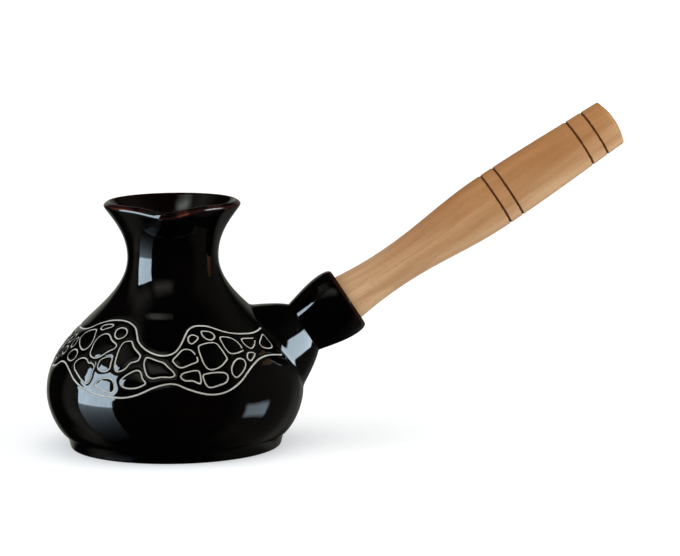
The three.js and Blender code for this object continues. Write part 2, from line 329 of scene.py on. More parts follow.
@dataclass(frozen=True)
class ThrownProfile:
    """The thrown shape of the pot, in millimetres, with its foot on the ground."""

    foot_radius: float = 48.2
    foot_height: float = 5.0
    foot_taper: float = 1.2
    foot_edge: float = 1.2
    belly_radius: float = 57.4
    belly_height: float = 25.4
    neck_radius: float = 20.3
    neck_height: float = 85.3
    rim_radius: float = 30.2
    height: float = 110.0
    underside_angle: float = math.radians(33)
    underside_sweep: float = 5.4
    belly_sweep_below: float = 8.0
    belly_sweep_above: float = 28.5
    neck_sweep_below: float = 22.0
    neck_sweep_above: float = 10.0
    flare_angle: float = math.radians(54)
    flare_sweep: float = 6.5
    wall: float = 4.5
    lip_wall: float = 3.6
    lip_squareness: float = 0.64
    floor: float = 6.5
    floor_fillet: float = 11.0
    base_shares: tuple[float, ...] = (0, 0.25, 0.5, 0.75, 0.93)

    def foot(self) -> np.ndarray:
        """The flat base from the axis to the eased edge of the foot.

        Returns:
            Its (radius, height) points.
        """
        radius = self.foot_radius - self.foot_taper
        out = self.foot_taper * self.foot_edge / self.foot_height
        edge = bend((radius - self.foot_edge, 0), (radius, 0), (radius + out, self.foot_edge), 8)
        return np.vstack([[(share * edge[0, 0], 0) for share in self.base_shares], edge])

    def underside(self, steps: int) -> np.ndarray:
        """The curve from the foot out to the belly.

        Args:
            steps: How many steps to take.

        Returns:
            Its (radius, height) points.
        """
        foot = np.array([self.foot_radius, self.foot_height])
        return bezier([foot, foot + toward(self.underside_angle) * self.underside_sweep,
                       (self.belly_radius, self.belly_height - self.belly_sweep_below),
                       (self.belly_radius, self.belly_height)], steps)

    def shoulder(self, steps: int, first: float = 0, last: float = 1) -> np.ndarray:
        """The curve from the belly in to the neck, or a share of it.

        Args:
            steps: How many steps to take.
            first: The share of the curve to start at.
            last: The share to end at.

        Returns:
            Its (radius, height) points.
        """
        return bezier([(self.belly_radius, self.belly_height),
                       (self.belly_radius, self.belly_height + self.belly_sweep_above),
                       (self.neck_radius, self.neck_height - self.neck_sweep_below),
                       (self.neck_radius, self.neck_height)], steps, first, last)

    def lip_centre(self) -> np.ndarray:
        """The centre of the rounded lip."""
        return np.array([self.rim_radius, self.height]) - self.lip_wall / 2

    def flare(self, steps: int) -> np.ndarray:
        """The curve from the neck out to the lip.

        Args:
            steps: How many steps to take.

        Returns:
            Its (radius, height) points.
        """
        end = self.lip_centre() + self.lip_wall / 2 * toward(self.flare_angle - QUARTER_TURN)
        return bezier([(self.neck_radius, self.neck_height),
                       (self.neck_radius, self.neck_height + self.neck_sweep_above),
                       end - toward(self.flare_angle) * self.flare_sweep, end], steps)

    def lip(self, steps: int) -> np.ndarray:
        """The lip between the outside and the inside, flatter than round on top.

        Args:
            steps: How many steps make the half turn.

        Returns:
            Its (radius, height) points, without the two ends.
        """
        angles = math.pi * np.arange(1, steps) / steps
        across = np.sign(np.cos(angles)) * np.abs(np.cos(angles)) ** self.lip_squareness
        along = np.sin(angles) ** self.lip_squareness
        ring = (np.outer(across, toward(self.flare_angle - QUARTER_TURN))
                + np.outer(along, toward(self.flare_angle)))
        return self.lip_centre() + self.lip_wall / 2 * ring

    def inside(self) -> np.ndarray:
        """The inside from the lip down to the centre of the floor.

        Returns:
            Its (radius, height) points.
        """
        wall = np.vstack([inset(self.underside(12), self.wall, self.wall),
                          inset(self.shoulder(30), self.wall, self.wall)[1:],
                          inset(self.flare(18), self.wall, self.lip_wall)[1:]])
        wall = wall[wall[:, 1] > self.floor + self.floor_fillet]
        low = wall[0]
        corner = bend((low[0] - self.floor_fillet, self.floor), (low[0], self.floor), low, 12)
        floor = [(share * corner[0, 0], self.floor) for share in self.base_shares[:-1]]
        return np.vstack([floor, corner[:-1], wall])[::-1]

    def outside(self) -> np.ndarray:
        """The whole outside from the foot to the neck, finely drawn, for measuring."""
        return np.vstack([self.underside(300), self.shoulder(900)[1:]])


@dataclass(frozen=True)
class PinchedSpout:
    """A beak drawn out of the front of the rim, in millimetres."""

    azimuth: float = math.radians(-98)
    half_angle: float = math.radians(29)
    reach: float = 6.5
    outer_dip: float = 3.4
    inner_dip: float = 1.3
    beak_width: float = 1.5
    pinch: float = 0.8
    pinch_place: float = 1.1
    pinch_spread: float = 0.45
    depth: float = 15.0
    flare: float = 2.0
    tip_rounding: float = 0.16
    root_rounding: float = 0.6
    crowding: float = 0.45
    crowded_depth: float = 19.0

    def pull(self, places: np.ndarray, inner: np.ndarray, top: float) -> np.ndarray:
        """Pulls the spout out of a plain rim.

        Args:
            places: The points of the pot.
            inner: For each point, 0 outside the lip and 1 inside it.
            top: The height of the rim.

        Returns:
            The moved points.
        """
        x, y, z = places.T
        rise = np.clip((z - top + self.depth) / self.depth, 0, 1) ** self.flare
        turned = np.arctan2(y, x) - self.azimuth
        turned = np.arctan2(np.sin(turned), np.cos(turned))
        crowd = smoothstep(z, top - 2 * self.crowded_depth, top - self.crowded_depth)
        turned = turned - self.crowding * crowd * np.sin(turned)
        off = np.abs(turned) / self.half_angle
        rounding = self.tip_rounding + (self.root_rounding - self.tip_rounding) * (1 - rise)
        softened = np.hypot(off, rounding) - rounding
        beak = np.maximum(0, 1 - softened / self.beak_width) ** 3
        squeezed = bell(off, self.pinch_place, self.pinch_spread)
        radius = np.hypot(x, y) + rise * (self.reach * beak - self.pinch * squeezed)
        dip = self.outer_dip + (self.inner_dip - self.outer_dip) * inner
        azimuth = self.azimuth + turned
        height = z - rise * dip * beak
        return np.stack([radius * np.cos(azimuth), radius * np.sin(azimuth), height], axis=1)


@dataclass(frozen=True)
class Stone:
    """One carved outline: its centre, and how far across and up each corner is from it in turn."""

    azimuth: float
    height: float
    corners: tuple[float, ...]
    closed: bool = True


STONES = (
    Stone(-143, 57.9, (-3, -1.6, -3.4, -0.1, -1.4, 1.2, 1.8, 1.8, 3.4, 1.3, 2.5, 0.2, 0.4, -0.8,
          -1.2, -1.8)),
    Stone(-129, 56.2, (-2.9, 1.6, -1.2, 3, 1.6, 2.8, 3.2, 1, 3, -1.4, 0.2, -3, -2.4, -1.2)),
    Stone(-154, 52.3, (2.3, 5.5, -1.7, 4.9, -5.2, 2.7, -5.9, 0, -3.3, -2.6, -0.3, -4.5, 3.5, -5.5,
          5.5, -4, 5.9, -1.5, 5.3, 0.9, 3.9, 3.2)),
    Stone(-136, 50.9, (-3.5, 6.4, -0.4, 6, 2.7, 3.6, 6.8, 1.1, 6.6, -0.5, 3.8, -2.7, 1.3, -5.3,
          -0.6, -6.4, -2.7, -6.4, -5.1, -5, -6, -2.3, -6.8, 1, -6.3, 4.1)),
    Stone(-118, 47.9, (-0.8, 7.7, -3.2, 7.5, -4.8, 6.6, -5.6, 3.9, -5.6, 0.7, -5.3, -2.9, -4.6,
          -6.3, -3.5, -7.7, -1.5, -7.4, 0.2, -6.2, 2, -3.3, 4.9, -2.1, 5.6, 0.4, 4, 2.2, 1.7, 4.4,
          0.4, 6.2)),
    Stone(-157, 45.4, (-0.5, 2.8, -3.1, 1.4, -3.7, -0.8, -2.1, -2.3, 1.7, -2.8, 3.6, -1.4, 3.7,
          0.9, 2, 2.5)),
    Stone(-143, 40.6, (-2.1, 5.6, -5.5, 4.5, -7, 2.3, -5.5, -0.1, -2.2, -2.1, 1.9, -4.5, 5.6,
          -5.6, 7, -3.5, 6.8, -0.2, 6.8, 2.3, 4.3, 3.8, 2.6, 3.6, 0.3, 5.1)),
    Stone(-130, 44.2, (1.9, 3.7, -0.6, 3.2, -3, 1.6, -3.4, -0.8, -2.6, -2.7, 0.2, -3.7, 2.4, -3.2,
          3.4, -1.9, 3.1, 0.7, 3, 2.8)),
    Stone(-127, 35.7, (0.2, 3.1, -2.5, 2.5, -4.1, 1.1, -5.1, -0.9, -2.5, -1.7, 0.5, -2.8, 4.1,
          -3.1, 5.1, -2.1, 5, 0.3, 3.4, 2.5)),
    Stone(-113, 38.8, (0.9, 4.1, -1.4, 3, -4.4, 0.8, -5.9, -1.3, -5, -3.1, -2.4, -4.1, 1.6, -3.9,
          3.9, -3.1, 5.9, -1.6, 4.4, 0.3, 3.5, 2.7, 2.5, 3.9)),
    Stone(-101, 43.6, (-6.2, 4.9, -6.9, 2.3, -6, -1.1, -4.5, -4, -2.6, -4.9, 1.1, -4.3, 5.6, -4.3,
          6.9, -3.5, 5.9, -1.5, 4, 0.4, 2, 2.4, -1.7, 3.7, -4.3, 4.7)),
    Stone(-164, 49.9, (0.1, 2.8, -1.7, 1.4, -1.6, -1.1, -0.1, -2.8, 1.7, -1.5, 1.6, 0.5)),
    Stone(-170, 46.0, (0.3, 2, -1.9, 1.1, -2.4, -0.9, -0.4, -2.1, 2.2, -1.2, 2, 1.2)),
    Stone(-88, 47.2, (5.3, 0.3, 5.4, -1.6, 2.3, -3, -1.9, -4.5, -3.4, -3.8, -4.3, -2.7, -5.4,
          -1.1, -3.5, 1.5, -0.4, 4.5, 2.6, 4.3, 4.1, 2.9, 4.7, 1.7), False),
    Stone(-82, 54.4, (0.1, 2.4, 2.3, 0.9, 1.5, -0.5, -1.3, -2.4, -2.3, -0.9, -1.8, 1.5)),
    Stone(-72, 55.5, (-2.6, 2.4, 1.4, 1.7, 2.7, -0.5, 1.6, -2.2, -0.6, -2.4, -2.4, -0.6, -2.9,
          0.9)),
    Stone(-73, 47.7, (2.4, 6.6, -1.5, 6.6, -5.5, 5.4, -6, 3.7, -5.6, -0.2, -4.8, -4, -3.3, -6.4,
          -0.6, -6.6, 2.5, -5.3, 5, -3.2, 6, -2.2, 5.6, 0, 4.6, 3.5, 3.5, 5.9)),
    Stone(-60, 51.2, (4.3, -3.8, 0.7, -4.6, -2.4, -4.3, -3.6, -2.1, -4.1, 0.8, -4.3, 3.8, -3.6,
          4.6, 1.2, 3.5, 3.2, 1.7, 4.3, -0.8, 4.3, -2.4), False),
    Stone(-47, 50.7, (3.8, 0.6, 1.8, -1.4, -1.2, -2.7, -2.8, -1.3, -3.8, 1.2, -3.4, 2.7, 3.5,
          2.2), False),
    Stone(-35, 49.9, (3.5, 3.6, 4, 1.3, 3.7, -2.9, 0.9, -3.6, -3.7, -2.1, -4, -0.3, -0.6, 2.1)),
    Stone(-51, 45.6, (-1.2, 1.9, 1.8, 1.8, 2.7, 1.1, 0.5, -0.8, -1.6, -1.9, -2.7, -0.9)),
    Stone(-61, 42.0, (2, 4.3, 4, 3.2, 4, 1.1, 1.7, -1.7, -2.6, -4.3, -3.9, -3.1, -4, -0.6, -2.2,
          2.3, 0.1, 3.9)),
    Stone(-74, 37.8, (-5.7, 2.7, 4.5, 3, 5.7, 1.4, 4.4, -1.2, 1, -2.3, -3.5, -3, -4.8, -1.9, -5.7,
          0.8)),
    Stone(-86, 39.6, (3.9, 2.6, 4.4, -0.6, 4, -3, 0.9, -1.7, -2.8, -1.3, -4.4, 0.5, -3.6, 1.7,
          -0.7, 2.6, 3, 3)),
)
UPPER_LINE = (
    (-165, 55.4), (-159, 56.7), (-154, 58.4), (-148, 59.7), (-143, 60.5), (-134, 61.0),
    (-128, 60.7), (-124, 60.0), (-120, 58.7), (-117, 56.2), (-115, 53.9), (-112, 52.0),
    (-108, 50.2), (-104, 49.0), (-100, 48.4), (-96, 48.7), (-93, 49.7), (-91, 51.2),
    (-89, 53.2), (-86.5, 56.0), (-84, 58.0), (-80, 59.2), (-75, 59.3), (-70, 58.8),
    (-65, 57.5), (-60, 56.2), (-55, 55.3), (-48, 54.6), (-41, 54.2), (-35, 54.3), (-26, 55.0),
)
LOWER_LINE = (
    (-170, 39.5), (-165, 41.6), (-160, 41.7), (-156, 40.7), (-151, 38.6), (-148, 36.9),
    (-144, 35.0), (-139, 33.2), (-134, 32.0), (-129, 31.2), (-124, 30.8), (-120, 30.7),
    (-116, 30.9), (-111, 32.1), (-107, 33.7), (-104, 35.1), (-101, 36.1), (-98, 36.8),
    (-95, 37.1), (-92, 36.6), (-89, 35.3), (-85, 33.8), (-81, 32.6), (-77, 31.9), (-73, 32.0),
    (-69, 32.9), (-65, 34.6), (-61, 36.9), (-57, 39.7), (-52, 42.4), (-47, 44.1), (-41, 44.8),
    (-36, 44.6), (-27, 43.4),
)
LOWER_JOIN = ((-184, 38.0), (-177, 38.0))


@dataclass(frozen=True)
class Ruler:
    """Measures of the band's curve, point by point.

    They are the height on the flat drawing, the pot's radius and height, the length of the curve
    so far, and the outward and upward parts of the direction that the pot faces.
    """

    upright: np.ndarray
    radius: np.ndarray
    height: np.ndarray
    arc: np.ndarray
    out: np.ndarray
    up: np.ndarray

    @classmethod
    def along(cls, curve: np.ndarray) -> "Ruler":
        """Measures a finely drawn curve.

        Args:
            curve: Its (radius, height) points.

        Returns:
            The measures.
        """
        length = np.hypot(*np.diff(curve, axis=0).T)
        middle = (curve[1:, 0] + curve[:-1, 0]) / 2
        way = np.gradient(curve, axis=0)
        way /= np.linalg.norm(way, axis=1)[:, None]
        upright, arc = (np.concatenate([[0], np.cumsum(s)]) for s in (length / middle, length))
        return cls(upright, curve[:, 0], curve[:, 1], arc, way[:, 1], -way[:, 0])


class Drawing:
    """The points and edges of a flat mesh, with each point's distance to a carved line."""

    def __init__(self) -> None:
        """Starts empty."""
        self.points: list[np.ndarray] = []
        self.distances: list[np.ndarray] = []
        self.edges: list[tuple[int, int]] = []
        self.count = 0

    def lay(self, line: np.ndarray, distance: float, edges: int) -> None:
        """Adds a line.

        Args:
            line: Its points.
            distance: How far they are from a carved line, in millimetres.
            edges: How many edges join them: none, one less than the points, or as many.
        """
        self.points.append(line)
        self.distances.append(np.full(len(line), float(distance)))
        self.edges.extend((self.count + i, self.count + (i + 1) % len(line)) for i in range(edges))
        self.count += len(line)


@dataclass(frozen=True)
class CarvedBand:
    """A band of stones carved through the glaze, in millimetres, between two drawn lines."""

    profile: ThrownProfile
    first: float = 0.02
    last: float = 0.64
    columns: int = 240
    rungs: int = 26
    field_columns: int = 1320
    line_half: float = 0.43
    border_line_share: float = 0.8
    stone_line_share: float = 0.66
    wobble: float = 0.18
    wobble_apart: float = 7.3
    wobble_pace: float = 0.035
    glaze_edge: float = 0.51
    pillow: float = 2.3
    pillow_rise: float = 0.26
    pillow_ease: float = 1.5
    ease_reach: int = 4
    groove: float = 0.42
    groove_middle: float = 0.55
    groove_dish: float = 0.2
    hair: float = 0.01
    far: float = 3.0
    reach_margin: float = 1.1
    drawn_pace: float = 0.4
    stroke_pace: float = 0.7
    ladder: tuple[Pair, ...] = (
        (line_half, 0.55), (glaze_edge, 0.55), (0.85, 0.65), (1.35, 0.8), (2.1, 1.1),
    )
    open_pace: float = 2.2
    open_from: float = 2.6
    open_margins: Pair = (60, 90)
    stagger: float = 0.25
    seam_margin: float = 0.012
    mean_radius: float = 50.0
    back_turn: float = 194.0
    back_azimuths: Pair = (31, 168)
    fillers: tuple[tuple[int, float, float], ...] = (
        (8, 171.0, 47.7), (15, 181.0, 50.9), (5, 180.5, 43.6), (14, 188.2, 50.7),
    )

    @cached_property
    def ruler(self) -> Ruler:
        """The measures of the part of the profile that the band covers."""
        return Ruler.along(self.profile.shoulder(2000, self.first, self.last))

    def radius(self, upright: np.ndarray) -> np.ndarray:
        """The pot's radius at an upright coordinate."""
        return np.interp(upright, self.ruler.upright, self.ruler.radius)

    def stone_line(self, stone: Stone, turn: float) -> np.ndarray:
        """A stone's outline on the flat drawing, with the band turned by some degrees.

        Args:
            stone: The stone.
            turn: How far the band is turned.

        Returns:
            The points of the outline.
        """
        ruler = self.ruler
        across, up = np.reshape(stone.corners, (-1, 2)).T
        arc = np.interp(stone.height, ruler.height, ruler.arc)
        radius = np.interp(stone.height, ruler.height, ruler.radius)
        azimuth = math.radians(stone.azimuth + turn) % FULL_TURN + across / radius
        upright = np.interp(arc + up, ruler.arc, ruler.upright)
        return flowing(np.stack([azimuth, upright], 1), stone.closed, self.drawn_pace / radius)

    def strokes(self) -> list[np.ndarray]:
        """Every carved line, as points on the flat drawing: the two border lines come first.

        Returns:
            The points of each line.
        """
        lines = []
        for drawn, join in ((UPPER_LINE, ()), (LOWER_LINE, LOWER_JOIN)):
            front = np.array(drawn)
            back = front[:-1] + (self.back_turn - 360, 0)
            azimuth, height = np.array([*back, *join, *front]).T
            upright = np.interp(height, self.ruler.height, self.ruler.upright)
            points = np.stack([np.radians(azimuth + 360), upright], axis=1)
            lines.append(flowing(points, False, self.drawn_pace / self.mean_radius))
        for stone in STONES:
            lines.append(self.stone_line(stone, 0))
            if self.back_azimuths[0] <= stone.azimuth + self.back_turn <= self.back_azimuths[1]:
                lines.append(self.stone_line(stone, self.back_turn))
        for shape, azimuth, height in self.fillers:
            source = STONES[shape]
            lines.append(self.stone_line(Stone(azimuth, height, source.corners, source.closed), 0))
        return lines

    def distances(self, strokes: list[np.ndarray]) -> tuple[np.ndarray, np.ndarray]:
        """How far each point of a fine grid is from the nearest carved line.

        Args:
            strokes: The lines on the flat drawing.

        Returns:
            The width and height of the grid's cells, and the distances in millimetres.
        """
        cell = FULL_TURN / self.field_columns
        rows = math.ceil(self.ruler.upright[-1] / cell)
        azimuths = np.arange(self.field_columns + 1) * cell
        uprights = np.linspace(0, self.ruler.upright[-1], rows + 1)
        step = np.array([cell, uprights[1]])
        radius = self.radius(uprights)
        field = np.full((rows + 1, self.field_columns + 1), self.far)
        for index, stroke in enumerate(strokes):
            share_of_full = self.stone_line_share if index > 1 else self.border_line_share
            for count, (start, end) in enumerate(zip(stroke, stroke[1:])):
                reach = self.far / float(self.radius(start[1])) * self.reach_margin
                left, low = ((np.minimum(start, end) - reach) / step).astype(int)
                right, high = ((np.maximum(start, end) + reach) / step).astype(int) + 1
                left, low = max(0, left), max(0, low)
                right, high = min(self.field_columns, right), min(rows, high)
                if left >= right or low >= high:
                    continue
                spot = (index * self.wobble_apart, count * self.wobble_pace, 0.5)
                hand = noise.noise(Vector(spot))
                width = (1 + self.wobble * hand) * share_of_full
                across = azimuths[left:right + 1][None, :] - start[0]
                up = uprights[low:high + 1][:, None] - start[1]
                way = end - start
                share = (across * way[0] + up * way[1]) / max(way @ way, 1e-12)
                share = np.clip(share, 0, 1)
                gap = np.hypot(across - share * way[0], up - share * way[1])
                gap = gap * radius[low:high + 1][:, None] + self.line_half * (1 - width)
                window = field[low:high + 1, left:right + 1]
                np.minimum(window, gap, out=window)
        return step, field

    @staticmethod
    def contours(field: np.ndarray, level: float) -> list[np.ndarray]:
        """The closed lines along which a grid has one value.

        Args:
            field: The grid.
            level: The value.

        Returns:
            Lines of (column, row) points, each with its first point repeated at its end.
        """
        above = field > level
        code = above[:-1, :-1] * 1 + above[:-1, 1:] * 2 + above[1:, 1:] * 4 + above[1:, :-1] * 8
        pairs = {1: "sw", 2: "se", 3: "we", 4: "en", 6: "sn", 7: "wn",
                 8: "wn", 9: "sn", 11: "en", 12: "we", 13: "se", 14: "sw"}
        links: dict[tuple[int, int, int], list[tuple[int, int, int]]] = {}
        for row, column in zip(*np.nonzero((code > 0) & (code < 15))):
            row, column = int(row), int(column)
            kind = int(code[row, column])
            if kind in pairs:
                crossed = (pairs[kind],)
            else:
                middle = field[row:row + 2, column:column + 2].mean() > level
                crossed = ("se", "wn") if (kind == 5) == middle else ("sw", "en")
            side = {"s": (row, column, 0), "n": (row + 1, column, 0),
                    "w": (row, column, 1), "e": (row, column + 1, 1)}
            for one, other in crossed:
                links.setdefault(side[one], []).append(side[other])
                links.setdefault(side[other], []).append(side[one])

        def place(key: tuple[int, int, int]) -> Pair:
            """Where the line crosses one side of a cell.

            Args:
                key: The side's row and column, and 1 for an upright side.

            Returns:
                The (column, row) point.
            """
            row, column, upright = key
            here = field[row, column]
            there = field[row + 1, column] if upright else field[row, column + 1]
            share = (level - here) / (there - here)
            return (column, row + share) if upright else (column + share, row)

        lines = []
        left = set(links)
        while left:
            chain = [left.pop()]
            while onward := [key for key in links[chain[-1]] if key in left]:
                left.discard(onward[0])
                chain.append(onward[0])
            lines.append(np.array([place(key) for key in chain + chain[:1]]))
        return lines

    def heights(self, field: np.ndarray) -> np.ndarray:
        """The height of the glaze over the plain pot: each stone is a low pillow.

        Args:
            field: The distances to the carved lines.

        Returns:
            A grid of heights in millimetres, eased where two slopes meet.
        """
        share = np.minimum((field - self.glaze_edge) / (self.pillow - self.glaze_edge), 1)
        rise = -self.pillow_rise * (1 - share) ** 2
        rows, columns = rise.shape
        reach = self.ease_reach
        spread = np.exp(-(np.arange(-reach, reach + 1) / self.pillow_ease) ** 2 / 2)
        spread /= spread.sum()
        wide = np.concatenate([rise[:, -reach - 1:-1], rise, rise[:, 1:reach + 1]], axis=1)
        eased = sum(weight * wide[:, i:i + columns] for i, weight in enumerate(spread))
        tall = np.pad(eased, ((reach, reach), (0, 0)), mode="edge")
        return sum(weight * tall[i:i + rows] for i, weight in enumerate(spread))

    @staticmethod
    def sample(grid: np.ndarray, column: np.ndarray, row: np.ndarray) -> np.ndarray:
        """A grid's value between its points.

        Args:
            grid: The grid.
            column: How far across the grid each place is.
            row: How far up the grid each place is.

        Returns:
            A value for each place.
        """
        column = np.clip(column, 0, grid.shape[1] - 1.0001)
        row = np.clip(row, 0, grid.shape[0] - 1.0001)
        c, r = column.astype(int), row.astype(int)
        across, up = column - c, row - r
        low = grid[r, c] * (1 - across) + grid[r, c + 1] * across
        high = grid[r + 1, c] * (1 - across) + grid[r + 1, c + 1] * across
        return low * (1 - up) + high * up

    def spaced(self, line: np.ndarray, pace: float) -> np.ndarray:
        """A line of the flat drawing with its points set a pace in millimetres apart.

        Args:
            line: The line.
            pace: The pace.

        Returns:
            The new points.
        """
        step = np.hypot(*np.diff(line, axis=0).T) * self.radius((line[1:, 1] + line[:-1, 1]) / 2)
        length = np.concatenate([[0], np.cumsum(step)])
        at = np.linspace(0, length[-1], max(5, round(length[-1] / pace)) + 1)
        return np.stack([np.interp(at, length, line[:, 0]), np.interp(at, length, line[:, 1])], 1)

    def draw(self, strokes: list[np.ndarray], step: np.ndarray, field: np.ndarray) -> Drawing:
        """Lays out the mesh: along and beside the lines, on the band's edges and in the open.

        Args:
            strokes: The carved lines.
            step: The width and height of the grid's cells.
            field: The distances to the lines.

        Returns:
            The flat drawing.
        """
        drawing = Drawing()
        for level, pace in self.ladder:
            for line in self.contours(field, level):
                flat = line * step
                around = np.hypot(*np.diff(flat, axis=0).T).sum() * self.radius(flat[0, 1])
                if around >= 3 * pace:
                    line = self.spaced(flat, pace)[:-1]
                    drawing.lay(line, level, len(line))
        for stroke in strokes:
            drawing.lay(self.spaced(stroke, self.stroke_pace), 0, 0)
        top = self.ruler.upright[-1]
        ring = np.arange(self.columns + 1) * FULL_TURN / self.columns
        for upright in (0, top):
            drawing.lay(np.stack([ring, ring * 0 + upright], 1), self.far, self.columns)
        rungs = np.linspace(0, top, self.rungs)[1:-1]
        for azimuth in (0, FULL_TURN):
            drawing.lay(np.stack([rungs * 0 + azimuth, rungs], 1), self.far, 0)
        first, last = (self.open_pace / margin for margin in self.open_margins)
        upright = first
        shift = self.stagger
        while upright < top - last:
            around = float(self.radius(upright))
            number = round(FULL_TURN * around / self.open_pace)
            azimuth = (np.arange(number) + shift) * FULL_TURN / number
            azimuth = azimuth[np.abs(azimuth - math.pi) < math.pi - self.seam_margin]
            line = np.stack([azimuth, azimuth * 0 + upright], axis=1)
            drawing.lay(line[self.sample(field, *(line / step).T) > self.open_from], self.far, 0)
            upright += self.open_pace / around
            shift = 1 - shift
        return drawing

    def build(self) -> bpy.types.Object:
        """Makes the band as a mesh whose edges follow every carved line.

        Returns:
            The band. Its attribute surface is each point's normal, and kind is 0 for a face on
            the glaze, 1 in a line and 2 on a line's edge.
        """
        strokes = self.strokes()
        step, field = self.distances(strokes)
        drawing = self.draw(strokes, step, field)
        flat = (np.vstack(drawing.points) * self.mean_radius).tolist()
        points, _, faces, origins, _, _ = delaunay_2d_cdt(
            [Vector(point) for point in flat], drawing.edges, [], 0, 1e-6
        )
        out = np.array([tuple(point) for point in points]) / self.mean_radius
        azimuth, upright = out.T
        spot = (out / step).T
        distance = self.sample(field, *spot)
        known = np.concatenate(drawing.distances)
        for index, origin in enumerate(origins):
            if origin:
                distance[index] = known[origin[0]]
        on_line = distance < self.glaze_edge - self.hair
        glaze = self.heights(field)
        depth = self.groove_middle - self.groove_dish * distance / self.line_half
        bottom = -self.pillow_rise - self.groove * depth
        height = np.where(on_line, bottom, self.sample(glaze, *spot))
        height = np.where(distance >= self.far - self.hair, 0, height)

        ruler = self.ruler
        radius, level, face_out, face_up = (
            np.interp(upright, ruler.upright, measure)[:, None]
            for measure in (ruler.radius, ruler.height, ruler.out, ruler.up)
        )
        still = np.zeros(len(azimuth))
        radial = np.stack([np.cos(azimuth), np.sin(azimuth), still], axis=1)
        along = np.stack([-np.sin(azimuth), np.cos(azimuth), still], axis=1)
        upward = np.array([[0.0, 0.0, 1.0]])
        outward = radial * face_out + upward * face_up
        places = radial * radius + upward * level + outward * height[:, None]
        places[upright <= 1e-9, 2] = ruler.height[0]
        across, climb = (
            np.where(on_line, 0, self.sample(np.gradient(glaze, size, axis=axis), *spot))[:, None]
            / radius for size, axis in ((step[0], 1), (step[1], 0))
        )
        surface = outward - along * across - (upward * face_out - radial * face_up) * climb
        surface /= np.linalg.norm(surface, axis=1)[:, None]

        mesh = bpy.data.meshes.new("carved_band")
        mesh.from_pydata((places * MM).tolist(), [], faces)
        layer = mesh.attributes.new("surface", "FLOAT_VECTOR", "POINT")
        layer.data.foreach_set("vector", surface.astype(np.float32).ravel())
        corners = np.array([tuple(face) for face in faces])
        inside = self.sample(field, *(out[corners].mean(axis=1) / step).T) < self.line_half
        edge = ~inside & on_line[corners].any(axis=1)
        kinds = mesh.attributes.new("kind", "INT", "FACE")
        kinds.data.foreach_set("value", (inside * 1 + edge * 2).astype(np.int32))
        log.info("carved band: %d lines, %d faces", len(strokes), len(faces))
        return Bench.hang("carved_band", mesh)


